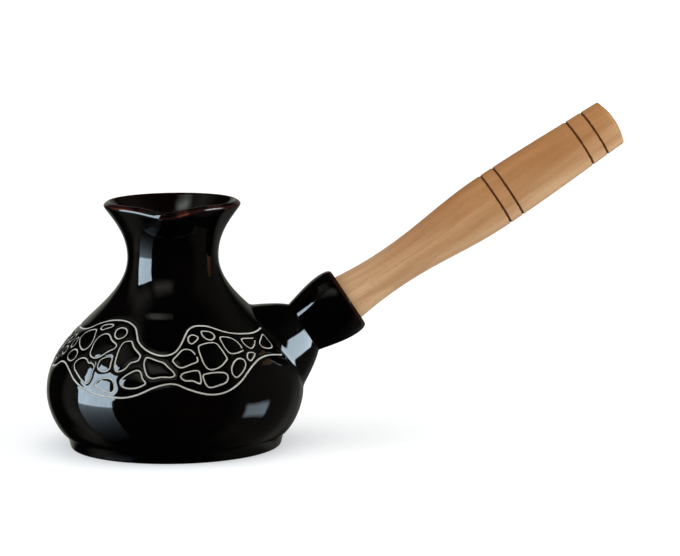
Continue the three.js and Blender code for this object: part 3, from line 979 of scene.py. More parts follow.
@dataclass(frozen=True)
class ThrownPot:
    """The pot: its thrown shell, the pulled spout and the carved band.

    The glaze runs thin on the lip around some azimuths: each has a half width and a share.
    """

    profile: ThrownProfile = ThrownProfile()
    spout: PinchedSpout = PinchedSpout()
    thin_runs: tuple[tuple[float, float, float], ...] = (
        (-168, 18, 0.8), (-133, 8, 0.62), (-75, 9, 0.95), (-30, 10, 0.9), (12, 12, 0.8),
        (66, 20, 0.9), (128, 14, 0.75),
    )
    thin_everywhere: float = 0.36
    thin_ease: float = 5
    outer_edge: Pair = (0.32, 0.1)
    inner_edge: Pair = (0.78, 0.07)
    inner_share: float = 0.38
    top_share: float = 0.1
    top_gain: float = 0.5
    top_span: tuple[float, ...] = (0.15, 0.35, 0.72, 0.98)
    throat_share: float = 0.1
    throat_fade: float = 4
    over_lip: Pair = (0.15, 0.85)
    lip_margin: float = 0.25
    inside_gap: float = 1.5
    base_height: float = 0.02
    columns: int = 240

    def shell(self, band: CarvedBand) -> bpy.types.Object:
        """Spins the shell below and above the band and pulls its spout.

        Args:
            band: The band that fills the gap between the two.

        Returns:
            The shell, open where the band goes.
        """
        shape = self.profile
        edge = shape.shoulder(1, 0, band.first)[1:]
        below = np.vstack([shape.foot(), shape.underside(18), edge])
        lower = Bench.turn("pot_below", below, self.columns)
        outer = np.vstack([shape.shoulder(20, band.last), shape.flare(22)[1:]])
        above = np.vstack([outer, shape.lip(18), shape.inside()])
        upper = Bench.turn("pot_above", above, self.columns)
        places = Bench.places(upper)
        radius, height = np.hypot(places[:, 0], places[:, 1]), places[:, 2]
        outline = np.vstack([shape.outside(), shape.flare(200)[1:]])
        wall = np.interp(height, outline[:, 1], outline[:, 0]) - self.inside_gap
        within = (radius < wall).astype(float)
        out, up = np.stack([radius, height]) - shape.lip_centre()[:, None]
        around = (np.arctan2(up, out) - shape.flare_angle + QUARTER_TURN) / math.pi
        around = np.clip(around, 0, 1)
        near_lip = np.hypot(out, up) < shape.lip_wall / 2 + self.lip_margin
        inner = np.where(near_lip, smoothstep(around, *self.over_lip), within)
        Bench.put(upper, self.spout.pull(places, inner, shape.height))
        azimuth = np.degrees(np.arctan2(places[:, 1], places[:, 0]))
        on_lip = self.lip_bareness(azimuth, around) * near_lip
        throat = within * self.throat_share * np.exp((height - shape.height) / self.throat_fade)
        Bench.tag(upper, "bare", np.clip(np.maximum(on_lip, throat), 0, 1))
        Bench.tag(upper, "within", inner)
        return Bench.join("pot_shell", [lower, upper])

    def lip_bareness(self, azimuth: np.ndarray, around: np.ndarray) -> np.ndarray:
        """How thin the glaze runs on the lip: most on its outer edge, and some on top and inside.

        Args:
            azimuth: The azimuth of each point in degrees, before the spout is pulled.
            around: How far round the lip it is, from 0 outside to 1 inside.

        Returns:
            A share from 0 to 1 for each point.
        """
        thin = np.full(len(azimuth), self.thin_everywhere)
        ease = self.thin_ease
        for centre, half, share in self.thin_runs:
            gap = np.abs((azimuth - centre + 180) % 360 - 180)
            thin = np.maximum(thin, share * smoothstep(gap, half + ease, half - ease))
        outer_edge = bell(around, *self.outer_edge) * thin
        inner_edge = bell(around, *self.inner_edge) * self.inner_share
        rise_from, rise_to, fall_from, fall_to = self.top_span
        top = self.top_share + self.top_gain * (thin - self.thin_everywhere)
        top = top * smoothstep(around, rise_from, rise_to)
        top = top * smoothstep(around, fall_to, fall_from)
        return np.maximum(np.maximum(outer_edge, inner_edge), top)

    def build(self) -> bpy.types.Object:
        """Makes the pot.

        Returns:
            The finished mesh: material 0 is glaze, 1 the carved lines and 2 the bare base.
        """
        band = CarvedBand(self.profile, columns=self.columns)
        piece = Bench.join("pot", [self.shell(band), band.build()])
        Bench.polish(piece)
        mesh = piece.data
        kind = Bench.read(mesh.attributes["kind"].data, "value")
        base = Bench.read(mesh.polygons, "center", 3)[:, 2] < self.base_height * MM
        material = np.where(base, 2, kind == 1).astype(np.int32)
        mesh.polygons.foreach_set("material_index", material)
        surface = Bench.read(mesh.attributes["surface"].data, "vector", 3)
        normals = surface[Bench.read(mesh.loops, "vertex_index")]
        owner = np.repeat(np.arange(len(kind)), Bench.read(mesh.polygons, "loop_total"))
        edge = kind[owner] == 2
        normals[edge] = Bench.read(mesh.polygons, "normal", 3)[owner][edge]
        mesh.normals_split_custom_set(normals.tolist())
        return piece


@dataclass(frozen=True)
class LeaningAxis:
    """The axis that the socket and the handle lie on, in millimetres."""

    profile: ThrownProfile = ThrownProfile()
    lean: float = math.radians(32.6)
    height: float = 14.5
    socket_length: float = 33.9

    def matrix(self) -> Matrix:
        """From the axis's own frame, +Z out along it from the lip, to the pot's, in metres.

        Returns:
            The matrix.
        """
        fine = self.profile.shoulder(200)
        beyond = np.argmax(fine[:, 1] > self.height + fine[:, 0] * math.tan(self.lean))
        distance = (fine[beyond, 0] / math.cos(self.lean) + self.socket_length) * MM
        place = Vector((math.cos(self.lean), 0, math.sin(self.lean))) * distance
        place.z += self.height * MM
        return Matrix.Translation(place) @ Matrix.Rotation(QUARTER_TURN - self.lean, 4, "Y")


@dataclass(frozen=True)
class LutedSocket:
    """The thrown cup with its ball-shaped root, luted to the shoulder, in millimetres."""

    axis: LeaningAxis = LeaningAxis()
    lip_radius: float = 13.4
    cup_radius: float = 15.6
    cup_back: float = 5.6
    waist_radius: float = 12.3
    waist_back: float = 23.9
    cup_flare: float = math.radians(13)
    ball_flare: float = math.radians(43)
    root_flare: float = math.radians(25)
    root_sink: float = 11.0
    root_radius: float = 24.8
    lip_sweep: float = 4.2
    lip_ease: float = 0.9
    bore_radius: float = 11.0
    bore_depth: float = 28.0
    bore_taper: float = 3.4
    bore_end_fillet: float = 2.0
    luting: float = 1.5
    luting_lift: float = 0.85
    probe: float = 0.05
    lip_thin: float = 0.3
    lip_thin_at: Pair = (-0.9, 0.8)
    bite: float = 0.06
    columns: int = 128
    root_rows: int = 22
    fillet_rows: int = 7
    seat_rows: int = 5

    def bore_at(self, depth: float) -> float:
        """The bore's radius at a depth below the lip."""
        return self.bore_radius - self.bore_taper * depth / self.bore_depth

    def ball(self) -> np.ndarray:
        """The curve of the ball from its root to the waist, finely drawn.

        Returns:
            Its (radius, height) points.
        """
        root = (self.root_radius, -self.axis.socket_length - self.root_sink)
        third = (-self.waist_back - root[1]) / 3
        return swept(root, toward(QUARTER_TURN + self.root_flare),
                     (self.waist_radius, -self.waist_back),
                     toward(QUARTER_TURN + self.ball_flare), third, 600)

    def cup(self) -> np.ndarray:
        """The outline from the waist over the cup and its lip into the bore, to its end.

        Returns:
            Its (radius, height) points.
        """
        widest = (self.cup_radius, -self.cup_back)
        cup = swept((self.waist_radius, -self.waist_back), toward(QUARTER_TURN - self.cup_flare),
                    widest, (0, 1), (self.waist_back - self.cup_back) / 3, 22)
        lip = bezier([widest, (widest[0], widest[1] + self.lip_sweep),
                      ((self.lip_radius + self.cup_radius) / 2, 0), (self.lip_radius, 0)], 16)
        mouth = bend((self.bore_radius + self.lip_ease, 0), (self.bore_radius, 0),
                     (self.bore_at(self.lip_ease), -self.lip_ease), 6)
        wall_end = self.bore_depth - self.bore_end_fillet
        bottom = self.bore_at(self.bore_depth)
        end = bend((self.bore_at(wall_end), -wall_end), (bottom, -self.bore_depth),
                   (bottom - self.bore_end_fillet, -self.bore_depth), 5)
        wall = np.linspace(mouth[-1], end[0], 10)[1:-1]
        return np.vstack([cup, lip[1:], mouth, wall, end, [(0, -self.bore_depth)]])

    def clearance(self, places: np.ndarray) -> np.ndarray:
        """How far points, in the pot's frame and millimetres, are outside the pot.

        Args:
            places: The points, one to a row.

        Returns:
            A distance for each point, less than 0 inside the pot.
        """
        outline = self.axis.profile.outside()
        radius = np.interp(places[..., 2], outline[:, 1], outline[:, 0])
        slope = np.gradient(outline[:, 0], outline[:, 1])
        lean = np.interp(places[..., 2], outline[:, 1], slope)
        return (np.hypot(places[..., 0], places[..., 1]) - radius) / np.hypot(1, lean)

    def pot_normal(self, place: np.ndarray) -> np.ndarray:
        """The pot's outward direction next to a point.

        Args:
            place: The point.

        Returns:
            A direction of length 1.
        """
        steps = self.probe * np.eye(3)
        normal = self.clearance(place + steps) - self.clearance(place - steps)
        return normal / np.linalg.norm(normal)

    def pressed(self, place: np.ndarray) -> np.ndarray:
        """The point of the luted face, just under the pot's surface, that is nearest to a place.

        Args:
            place: The place.

        Returns:
            The point.
        """
        for _ in range(3):
            place = place - self.pot_normal(place) * (self.clearance(place) + self.bite)
        return place

    @staticmethod
    def placed(local: np.ndarray, matrix: np.ndarray) -> np.ndarray:
        """Points of the socket's frame in the pot's."""
        return local @ matrix[:3, :3].T + matrix[:3, 3]

    def root(self, azimuth: float, matrix: np.ndarray) -> np.ndarray:
        """One meridian of the root, from under the pot's surface up to the waist.

        Args:
            azimuth: Its angle round the socket's own axis.
            matrix: From the socket's frame to the pot's, in millimetres.

        Returns:
            Its points in the pot's frame: the luted face, the blend into the pot and the ball.
        """
        curve = self.ball()
        side = np.array([*toward(azimuth), 0])
        places = self.placed(np.outer(curve[:, 0], side) + np.outer(curve[:, 1], (0, 0, 1)), matrix)
        clear = self.clearance(places)
        seam = places[int(np.nonzero(clear < 0)[0].max()) + 1]
        lift = int(np.nonzero(clear < self.luting * self.luting_lift)[0].max()) + 1
        normal = self.pot_normal(seam)
        outward = matrix[:3, :3] @ side
        outward -= normal * (outward @ normal)
        outward /= np.linalg.norm(outward)
        toe = self.pressed(seam + outward * self.luting)
        blend = bend(toe, seam, places[lift], self.fillet_rows - 1)
        rest = np.linspace(lift, len(places) - 1, self.root_rows)[1:]
        index = np.arange(len(places))
        upper = np.stack([np.interp(rest, index, row) for row in places.T], axis=1)
        middle = self.seat(matrix)
        face = [self.pressed(middle + (toe - middle) * share)
                for share in np.arange(self.seat_rows) / self.seat_rows]
        return np.vstack([face, blend, upper])

    def seat(self, matrix: np.ndarray) -> np.ndarray:
        """The point where the socket's axis meets the pot's surface.

        Args:
            matrix: From the socket's frame to the pot's, in millimetres.

        Returns:
            The point.
        """
        depths = np.linspace(self.bore_depth, self.axis.socket_length + self.root_sink, 400)
        places = self.placed(np.outer(depths, (0, 0, -1)), matrix)
        return places[int(np.argmin(np.abs(self.clearance(places))))]

    def build(self) -> bpy.types.Object:
        """Makes the socket.

        Returns:
            The finished mesh, in the pot's frame.
        """
        curve = self.ball()
        pick = np.linspace(200, len(curve) - 1, self.fillet_rows + self.root_rows - 1)
        stand_in = np.stack([np.interp(pick, np.arange(len(curve)), row) for row in curve.T], 1)
        face = [(stand_in[0, 0] * share, stand_in[0, 1])
                for share in np.arange(self.seat_rows) / self.seat_rows]
        rows = len(face) + len(stand_in)
        outline = np.vstack([face, stand_in, self.cup()[1:]])
        piece = Bench.turn("socket", outline, self.columns)
        places = Bench.places(piece)
        matrix = np.array(self.axis.matrix())
        matrix[:3, 3] /= MM
        placed = self.placed(places, matrix)
        radius = np.hypot(places[:, 0], places[:, 1])
        step = FULL_TURN / self.columns
        azimuth = np.arctan2(places[:, 1], places[:, 0])
        columns = np.rint(azimuth / step).astype(int) % self.columns
        meridians = [self.root(column * step, matrix) for column in range(self.columns)]
        thin = np.zeros(len(places))
        for index in range(len(places)):
            gap = np.hypot(outline[:, 0] - radius[index], outline[:, 1] - places[index, 2])
            row = int(np.argmin(gap))
            if row < rows:
                placed[index] = meridians[columns[index]][row]
            elif outline[row, 0] > self.bore_radius:
                thin[index] = self.lip_thin * bell(outline[row, 1], *self.lip_thin_at)
        Bench.put(piece, placed)
        Bench.tag(piece, "bare", thin)
        bore = (places[:, 2] < -self.lip_ease) & (radius < self.bore_radius + 0.01)
        Bench.tag(piece, "within", bore)
        Bench.polish(piece)
        return piece


@dataclass(frozen=True)
class TurnedHandle:
    """The turned wooden handle with its tapered tenon and burnt rings, in millimetres."""

    socket: LutedSocket = LutedSocket()
    clearance: float = 0.3
    tenon_end_gap: float = 2.5
    tenon_chamfer: float = 1.0
    length: float = 143.6
    waist_at: float = 23.6
    waist_radius: float = 9.15
    swell_at: float = 77.6
    swell_radius: float = 12.65
    sweep: float = 0.38
    start_slope: float = -0.12
    end_slope: float = -0.03
    end_radius: float = 10.95
    end_edge: float = 1.3
    end_dome: float = 1.8
    ring_width: float = 1.15
    ring_depth: float = 0.36
    ring_clear: float = 0.35
    ring_steepness: float = 1.9
    ring_hollow: float = 0.8
    burn_reach: float = 1.25
    ring_steps: tuple[float, ...] = (0, 0.2, 0.4, 0.62, 0.82, 1, 1.15, 1.6)
    rings_past_swell: tuple[float, ...] = (1.8, 8.4)
    rings_before_end: tuple[float, ...] = (19.0, 11.0)
    grip_pace: float = 1.6
    columns: int = 112

    def rings(self) -> list[float]:
        """How far from the lip each burnt ring is."""
        return ([self.swell_at + gap for gap in self.rings_past_swell]
                + [self.length - gap for gap in self.rings_before_end])

    def side(self) -> np.ndarray:
        """The grip's curves from the lip to the far end, finely drawn.

        Returns:
            Their (radius, height) points.
        """
        lip = (self.socket.bore_radius - self.clearance, 0)
        waist = (self.waist_radius, self.waist_at)
        swell = (self.swell_radius, self.swell_at)
        end = (self.end_radius, self.length - self.end_dome - self.end_edge)
        up = (0, 1)
        parts = [swept(low, out, high, into, (high[1] - low[1]) * self.sweep, 300)[1:]
                 for low, out, high, into in ((lip, (self.start_slope, 1), waist, up),
                                              (waist, up, swell, up),
                                              (swell, up, end, (self.end_slope, 1)))]
        return np.vstack([lip, *parts])

    def outline(self) -> tuple[np.ndarray, np.ndarray]:
        """The whole outline from the tip of the tenon.

        Returns:
            The (radius, height) points, and how burnt each is, from 0 to 1.
        """
        bore = self.socket
        length = bore.bore_depth - self.tenon_end_gap
        tip = bore.bore_at(length) - self.clearance
        shank = length - self.tenon_chamfer
        tenon = [(share * (tip - self.tenon_chamfer), -length) for share in (0, 0.5, 1)]
        wall = np.linspace(*((bore.bore_at(depth) - self.clearance, -depth)
                             for depth in (shank, bore.lip_ease)), 9)
        fine = self.side()
        heights = [*np.arange(0, fine[-1, 1] - 0.2, self.grip_pace), fine[-1, 1]]
        half = self.ring_width / 2
        for ring in self.rings():
            heights = [at for at in heights if abs(at - ring) > half + self.ring_clear]
            heights += [ring + side * half for step in self.ring_steps for side in {step, -step}]
        heights = np.array(sorted(heights))
        radius = np.interp(heights, fine[:, 1], fine[:, 0])
        burnt = np.zeros(len(heights))
        for ring in self.rings():
            share = np.abs(heights - ring) / half
            cut = np.clip(1 - share, 0, 1)
            radius -= self.ring_depth * np.minimum(cut * self.ring_steepness, 1) ** self.ring_hollow
            scorch = np.clip(self.burn_reach - share, 0, 1) / self.burn_reach
            burnt = np.maximum(burnt, scorch)
        corner = self.length - self.end_dome
        edge = bend(fine[-1], (self.end_radius, corner),
                    (self.end_radius - self.end_edge, corner), 7)
        dome = bend(edge[-1], (self.end_radius / 2, self.length), (0, self.length), 9)
        head = np.vstack([tenon, wall])
        tail = np.vstack([edge[1:], dome[1:]])
        outline = np.vstack([head, np.stack([radius, heights], axis=1), tail])
        return outline, np.concatenate([np.zeros(len(head)), burnt, np.zeros(len(tail))])

    def build(self) -> bpy.types.Object:
        """Makes the handle.

        Returns:
            The finished mesh, in the pot's frame.
        """
        outline, burnt = self.outline()
        piece = Bench.turn("handle", outline, self.columns)
        order = np.argsort(outline[:, 1])
        share = np.interp(Bench.places(piece)[:, 2], outline[order, 1], burnt[order])
        Bench.tag(piece, "burnt", share)
        piece.data.transform(self.socket.axis.matrix())
        Bench.polish(piece)
        return piece


Socket = bpy.types.NodeSocket


class Sheet:
    """A node tree being filled in."""

    def __init__(self, tree: bpy.types.NodeTree) -> None:
        """Starts on a tree."""
        self.tree = tree
        self.column = 0

    def add(self, kind: str, **settings: object) -> bpy.types.Node:
        """Adds a node.

        Args:
            kind: The node's type, without the word ShaderNode.
            settings: Its properties and what its inputs get, with _ for a space.

        Returns:
            The node.
        """
        node = self.tree.nodes.new("ShaderNode" + kind)
        node.location = (self.column * 190, 0)
        self.column += 1
        self.fill(node, **settings)
        return node

    def fill(self, node: bpy.types.Node, **settings: object) -> None:
        """Sets some of a node's properties and inputs, with _ for a space.

        Args:
            node: The node.
            settings: Its properties and what its inputs get.
        """
        for name, value in settings.items():
            if hasattr(node, name):
                setattr(node, name, value)
            else:
                self.feed(node.inputs[name.replace("_", " ")], value)

    def feed(self, target: Socket, value: object) -> None:
        """Links an output to an input, or sets the input to a number, a colour or a direction.

        Args:
            target: The input.
            value: What it gets.
        """
        if isinstance(value, Socket):
            self.tree.links.new(value, target)
        elif target.type == "RGBA":
            target.default_value = (*value, 1)
        else:
            target.default_value = value

    def own(self, name: str) -> bpy.types.Node:
        """A node that the tree came with."""
        return self.tree.nodes[name]

    def place(self) -> Socket:
        """The surface's Object coordinates."""
        return self.add("TexCoord").outputs["Object"]

    def math(self, operation: str, *terms: object) -> Socket:
        """The result of one sum on sockets and numbers.

        Args:
            operation: The sum.
            terms: Its terms in turn.

        Returns:
            The result.
        """
        node = self.add("Math", operation=operation)
        for target, term in zip(node.inputs, terms):
            self.feed(target, term)
        return node.outputs[0]

    def plus(self, *terms: object) -> Socket:
        """The total of sockets and numbers."""
        return reduce(lambda one, other: self.math("ADD", one, other), terms)

    def times(self, *terms: object) -> Socket:
        """The product of sockets and numbers."""
        return reduce(lambda one, other: self.math("MULTIPLY", one, other), terms)

    def blend(self, share: object, low: object, high: object) -> Socket:
        """A colour between two, each a socket or a colour.

        Args:
            share: How much of the second.
            low: The first.
            high: The second.

        Returns:
            The mixed colour.
        """
        node = self.add("Mix", data_type="RGBA")
        for index, value in ((0, share), (6, low), (7, high)):
            self.feed(node.inputs[index], value)
        return node.outputs[2]

    def span(self, value: Socket, low: float, high: float, to_low: float = 0,
             to_high: float = 1) -> Socket:
        """A value stretched from one range to another, and clamped."""
        return self.add("MapRange", Value=value, From_Min=low, From_Max=high, To_Min=to_low,
                        To_Max=to_high).outputs[0]

    def window(self, value: Socket, span: Pair, soft: float) -> Socket:
        """1 where a value is inside a span and 0 outside it, with soft edges.

        Args:
            value: The value.
            span: The two ends of the span.
            soft: How far each edge reaches to either side.

        Returns:
            The share.
        """
        low, high = span
        return self.times(self.span(value, low - soft, low + soft),
                          self.span(value, high - soft, high + soft, 1, 0))

    def noise(self, vector: Socket, scale: object, detail: float = 2,
              roughness: float = 0.5) -> Socket:
        """The value of a noise pattern."""
        return self.add("TexNoise", Vector=vector, Scale=scale, Detail=detail,
                        Roughness=roughness).outputs[0]

    def dots(self, vector: Socket, scale: float, near: float, far: float) -> Socket:
        """1 on scattered dots and 0 off them, with soft edges between two distances."""
        cells = self.add("TexVoronoi", Vector=vector, Scale=scale)
        return self.span(cells.outputs["Distance"], near, far, 1, 0)

    def drawn_out(self, vector: Socket, scale: Colour, shift: Colour = (0, 0, 0)) -> Socket:
        """Coordinates scaled along each axis, and shifted."""
        return self.add("Mapping", Vector=vector, Scale=scale, Location=shift).outputs[0]

    def parts(self, vector: Socket) -> bpy.types.NodeOutputs:
        """The X, Y and Z of a vector."""
        return self.add("SeparateXYZ", Vector=vector).outputs


class Effect(Enum):
    """The shared effects, each a node group that is built once."""

    KILN_UNEVENNESS = "kiln_unevenness"
    FINE_DUST = "fine_dust"
    WOOD_FIGURE = "wood_figure"


class Effects:
    """Builds each shared effect the first time that a material asks for it."""

    made: dict[Effect, bpy.types.NodeTree] = {}

    @classmethod
    def get(cls, effect: Effect) -> bpy.types.NodeTree:
        """The node group of an effect.

        Args:
            effect: The effect.

        Returns:
            Its node group.
        """
        if effect not in cls.made:
            builder = {
                Effect.KILN_UNEVENNESS: cls.kiln_unevenness,
                Effect.FINE_DUST: cls.fine_dust,
                Effect.WOOD_FIGURE: cls.wood_figure,
            }[effect]
            cls.made[effect] = builder(effect.value)
        return cls.made[effect]

    @staticmethod
    def group(name: str, inputs: dict[str, float],
              outputs: tuple[str, ...]) -> tuple[Sheet, bpy.types.NodeOutputs, bpy.types.Node]:
        """Starts a node group.

        Args:
            name: Its name.
            inputs: The first value of each input besides the coordinates.
            outputs: Its outputs, all plain values.

        Returns:
            The sheet of its tree, what comes in, and the node that takes what goes out.
        """
        tree = bpy.data.node_groups.new(name, "ShaderNodeTree")
        tree.interface.new_socket(name="Vector", in_out="INPUT", socket_type="NodeSocketVector")
        for label, value in inputs.items():
            socket = tree.interface.new_socket(name=label, in_out="INPUT",
                                               socket_type="NodeSocketFloat")
            socket.default_value = value
        for label in outputs:
            tree.interface.new_socket(name=label, in_out="OUTPUT", socket_type="NodeSocketFloat")
        start, end = (tree.nodes.new("NodeGroup" + side) for side in ("Input", "Output"))
        return Sheet(tree), start.outputs, end

    @classmethod
    def kiln_unevenness(cls, name: str) -> bpy.types.NodeTree:
        """Slow colour clouds, pinholes and the faint waviness of a fired surface.

        Args:
            name: The group's name.

        Returns:
            The node group.
        """
        sheet, given, end = cls.group(name, {"Cloud Size": 60, "Ripple Size": 420, "Pinholes": 0.5},
                                      ("Cloud", "Ripple", "Holes"))
        vector = given["Vector"]
        rare = sheet.span(sheet.noise(vector, 210, 0), 0.66, 0.7)
        sheet.fill(end, Cloud=sheet.noise(vector, given["Cloud Size"], 4, 0.6),
                   Ripple=sheet.noise(vector, given["Ripple Size"], 1.5),
                   Holes=sheet.times(sheet.dots(vector, 900, 0.05, 0.16), rare, given["Pinholes"]))
        return sheet.tree

    @classmethod
    def fine_dust(cls, name: str) -> bpy.types.NodeTree:
        """Dust and wipe marks: a share that is most where a surface faces up.

        Args:
            name: The group's name.

        Returns:
            The node group.
        """
        sheet, given, end = cls.group(name, {"Amount": 0.3, "Grain": 1500}, ("Dust",))
        patch = sheet.noise(given["Vector"], 28, 5, 0.65)
        speck = sheet.noise(given["Vector"], given["Grain"])
        facing = sheet.parts(sheet.add("NewGeometry").outputs["Normal"])["Z"]
        sheet.fill(end, Dust=sheet.times(
            sheet.span(patch, 0.35, 0.75), sheet.span(facing, -0.2, 1, 0.25, 1),
            sheet.span(speck, 0.4, 0.7, 0.3, 1), given["Amount"]))
        return sheet.tree

    @classmethod
    def wood_figure(cls, name: str) -> bpy.types.NodeTree:
        """The figure of turned wood: growth rings, long fibres, short rays and pores.

        Args:
            name: The group's name.

        Returns:
            The node group.
        """
        sheet, given, end = cls.group(name, {"Ring Gap": 0.0042, "Fibre": 1},
                                      ("Rings", "Fibres", "Rays", "Pores"))
        vector = given["Vector"]
        drift = sheet.noise(sheet.drawn_out(vector, (26, 26, 7)), 1, 3)
        place = sheet.parts(vector)
        off_heart = (sheet.plus(place["X"], 0.034), sheet.plus(place["Y"], -0.021))
        radius = sheet.math("SQRT", sheet.plus(*(sheet.times(way, way) for way in off_heart)))
        turns = sheet.math("DIVIDE", sheet.plus(radius, sheet.times(drift, 0.011)),
                           given["Ring Gap"])
        share = sheet.math("FRACT", turns)
        fibre = sheet.noise(sheet.drawn_out(vector, (900, 900, 26)), 1, 5, 0.62)
        ray_place = sheet.drawn_out(vector, (1500, 1500, 330))
        pore_place = sheet.drawn_out(vector, (4200, 4200, 520), (3, 7, 1))
        sheet.fill(end, Rings=sheet.times(sheet.span(share, 0.35, 0.96), sheet.span(share, 1, 0.96)),
                   Fibres=sheet.times(fibre, given["Fibre"]),
                   Rays=sheet.dots(ray_place, 1, 0.12, 0.3),
                   Pores=sheet.dots(pore_place, 1, 0.1, 0.28))
        return sheet.tree


@dataclass(frozen=True)
class Finish:
    """What every finish has."""

    name: str

    def material(self) -> bpy.types.Material:
        """Builds the material.

        Returns:
            The material.
        """
        material = bpy.data.materials.new(self.name)
        material.use_nodes = True
        sheet = Sheet(material.node_tree)
        place = sheet.place()
        sheet.fill(sheet.own("Principled BSDF"), **self.mix(sheet, place))
        return material

    def mix(self, sheet: Sheet, place: Socket) -> dict[str, object]:
        """Works out the shader's colour, gloss and relief.

        Args:
            sheet: The material's sheet.
            place: Its Object coordinates.

        Returns:
            What the shader's inputs get, with _ for a space.
        """
        raise NotImplementedError

    @staticmethod
    def effect(sheet: Sheet, effect: Effect, vector: Socket,
               **values: float) -> bpy.types.NodeOutputs:
        """Places a shared effect in the material.

        Args:
            sheet: The material's sheet.
            effect: The effect.
            vector: Its coordinates.
            values: Its own values, with _ for a space.

        Returns:
            What the group puts out.
        """
        tree = Effects.get(effect)
        return sheet.add("Group", node_tree=tree, Vector=vector, **values).outputs

    @staticmethod
    def attribute(sheet: Sheet, name: str) -> Socket:
        """A number that the piece's points carry."""
        return sheet.add("Attribute", attribute_name=name).outputs["Fac"]

    @staticmethod
    def relief(sheet: Sheet, height: Socket, strength: float, distance: float) -> Socket:
        """The normal of a surface with a fine relief."""
        return sheet.add("Bump", Height=height, Strength=strength, Distance=distance).outputs[0]


@dataclass(frozen=True)
class Glaze(Finish):
    """Glossy black glaze over red-brown clay, thin along the lips."""

    black: Colour = (0.0004, 0.0004, 0.0005)
    brown_black: Colour = (0.0016, 0.0009, 0.0007)
    wine: Colour = (0.034, 0.009, 0.006)
    rust: Colour = (0.135, 0.041, 0.014)
    dust: Colour = (0.02, 0.018, 0.017)
    roughness: float = 0.045
    clear: float = 1.5
    cloud_size: float = 42
    ripple_size: float = 95
    pinholes: float = 0.5
    dust_amount: float = 0.05
    dust_grain: float = 2400
    inside_wine: float = 0.05
    bump: Pair = (0.16, 0.0006)

    def mix(self, sheet: Sheet, place: Socket) -> dict[str, object]:
        """Lets the clay show through where the glaze ran thin.

        Args:
            sheet: The material's sheet.
            place: Its Object coordinates.

        Returns:
            What the shader's inputs get, with _ for a space.
        """
        kiln = self.effect(sheet, Effect.KILN_UNEVENNESS, place, Cloud_Size=self.cloud_size,
                           Ripple_Size=self.ripple_size, Pinholes=self.pinholes)
        dust = self.effect(sheet, Effect.FINE_DUST, place, Amount=self.dust_amount,
                           Grain=self.dust_grain)["Dust"]
        base = sheet.blend(sheet.span(kiln["Cloud"], 0.35, 0.7), self.black, self.brown_black)
        patch = sheet.span(sheet.noise(place, 75, 5, 0.62), 0.34, 0.62, 0.5, 1.3)
        thin = sheet.times(self.attribute(sheet, "bare"), patch)
        base = sheet.blend(sheet.span(thin, 0.1, 0.5), base, self.wine)
        base = sheet.blend(sheet.span(thin, 0.58, 1), base, self.rust)
        within = sheet.times(self.attribute(sheet, "within"), self.inside_wine)
        base = sheet.blend(within, base, self.wine)
        rough = sheet.span(kiln["Cloud"], 0.3, 0.75, self.roughness * 0.75, self.roughness * 1.5)
        level = sheet.math("SUBTRACT", kiln["Ripple"], sheet.times(kiln["Holes"], 0.5))
        return {
            "Base_Color": sheet.blend(dust, base, self.dust),
            "Roughness": sheet.plus(rough, sheet.times(kiln["Holes"], 0.3), sheet.times(dust, 0.6)),
            "IOR": self.clear,
            "Normal": self.relief(sheet, level, *self.bump),
        }


@dataclass(frozen=True)
class Clay(Finish):
    """Matt fired clay, with a grain and darker crumbs."""

    light: Colour = (0.61, 0.595, 0.53)
    dark: Colour = (0.44, 0.40, 0.33)
    crumb: Colour = (0.12, 0.08, 0.05)
    crumbs: float = 0.35
    grain: float = 1400.0
    cloud_size: float = 120
    pinholes: float = 1
    dust_amount: float = 0.25
    dust_grain: float = 3000
    bump: Pair = (0.5, 0.00015)

    def mix(self, sheet: Sheet, place: Socket) -> dict[str, object]:
        """Mixes two clays in slow clouds and scatters the crumbs.

        Args:
            sheet: The material's sheet.
            place: Its Object coordinates.

        Returns:
            What the shader's inputs get, with _ for a space.
        """
        kiln = self.effect(sheet, Effect.KILN_UNEVENNESS, place, Cloud_Size=self.cloud_size,
                           Ripple_Size=self.grain, Pinholes=self.pinholes)
        dust = self.effect(sheet, Effect.FINE_DUST, place, Amount=self.dust_amount,
                           Grain=self.dust_grain)["Dust"]
        base = sheet.blend(sheet.span(kiln["Cloud"], 0.35, 0.7), self.light, self.dark)
        crumb = sheet.span(sheet.noise(place, self.grain * 0.8), 0.62, 0.74, 0, self.crumbs)
        base = sheet.blend(crumb, base, self.crumb)
        return {
            "Base_Color": sheet.blend(dust, base, self.dark),
            "Roughness": sheet.span(kiln["Ripple"], 0.3, 0.7, 0.72, 0.92),
            "Normal": self.relief(sheet, kiln["Ripple"], *self.bump),
        }


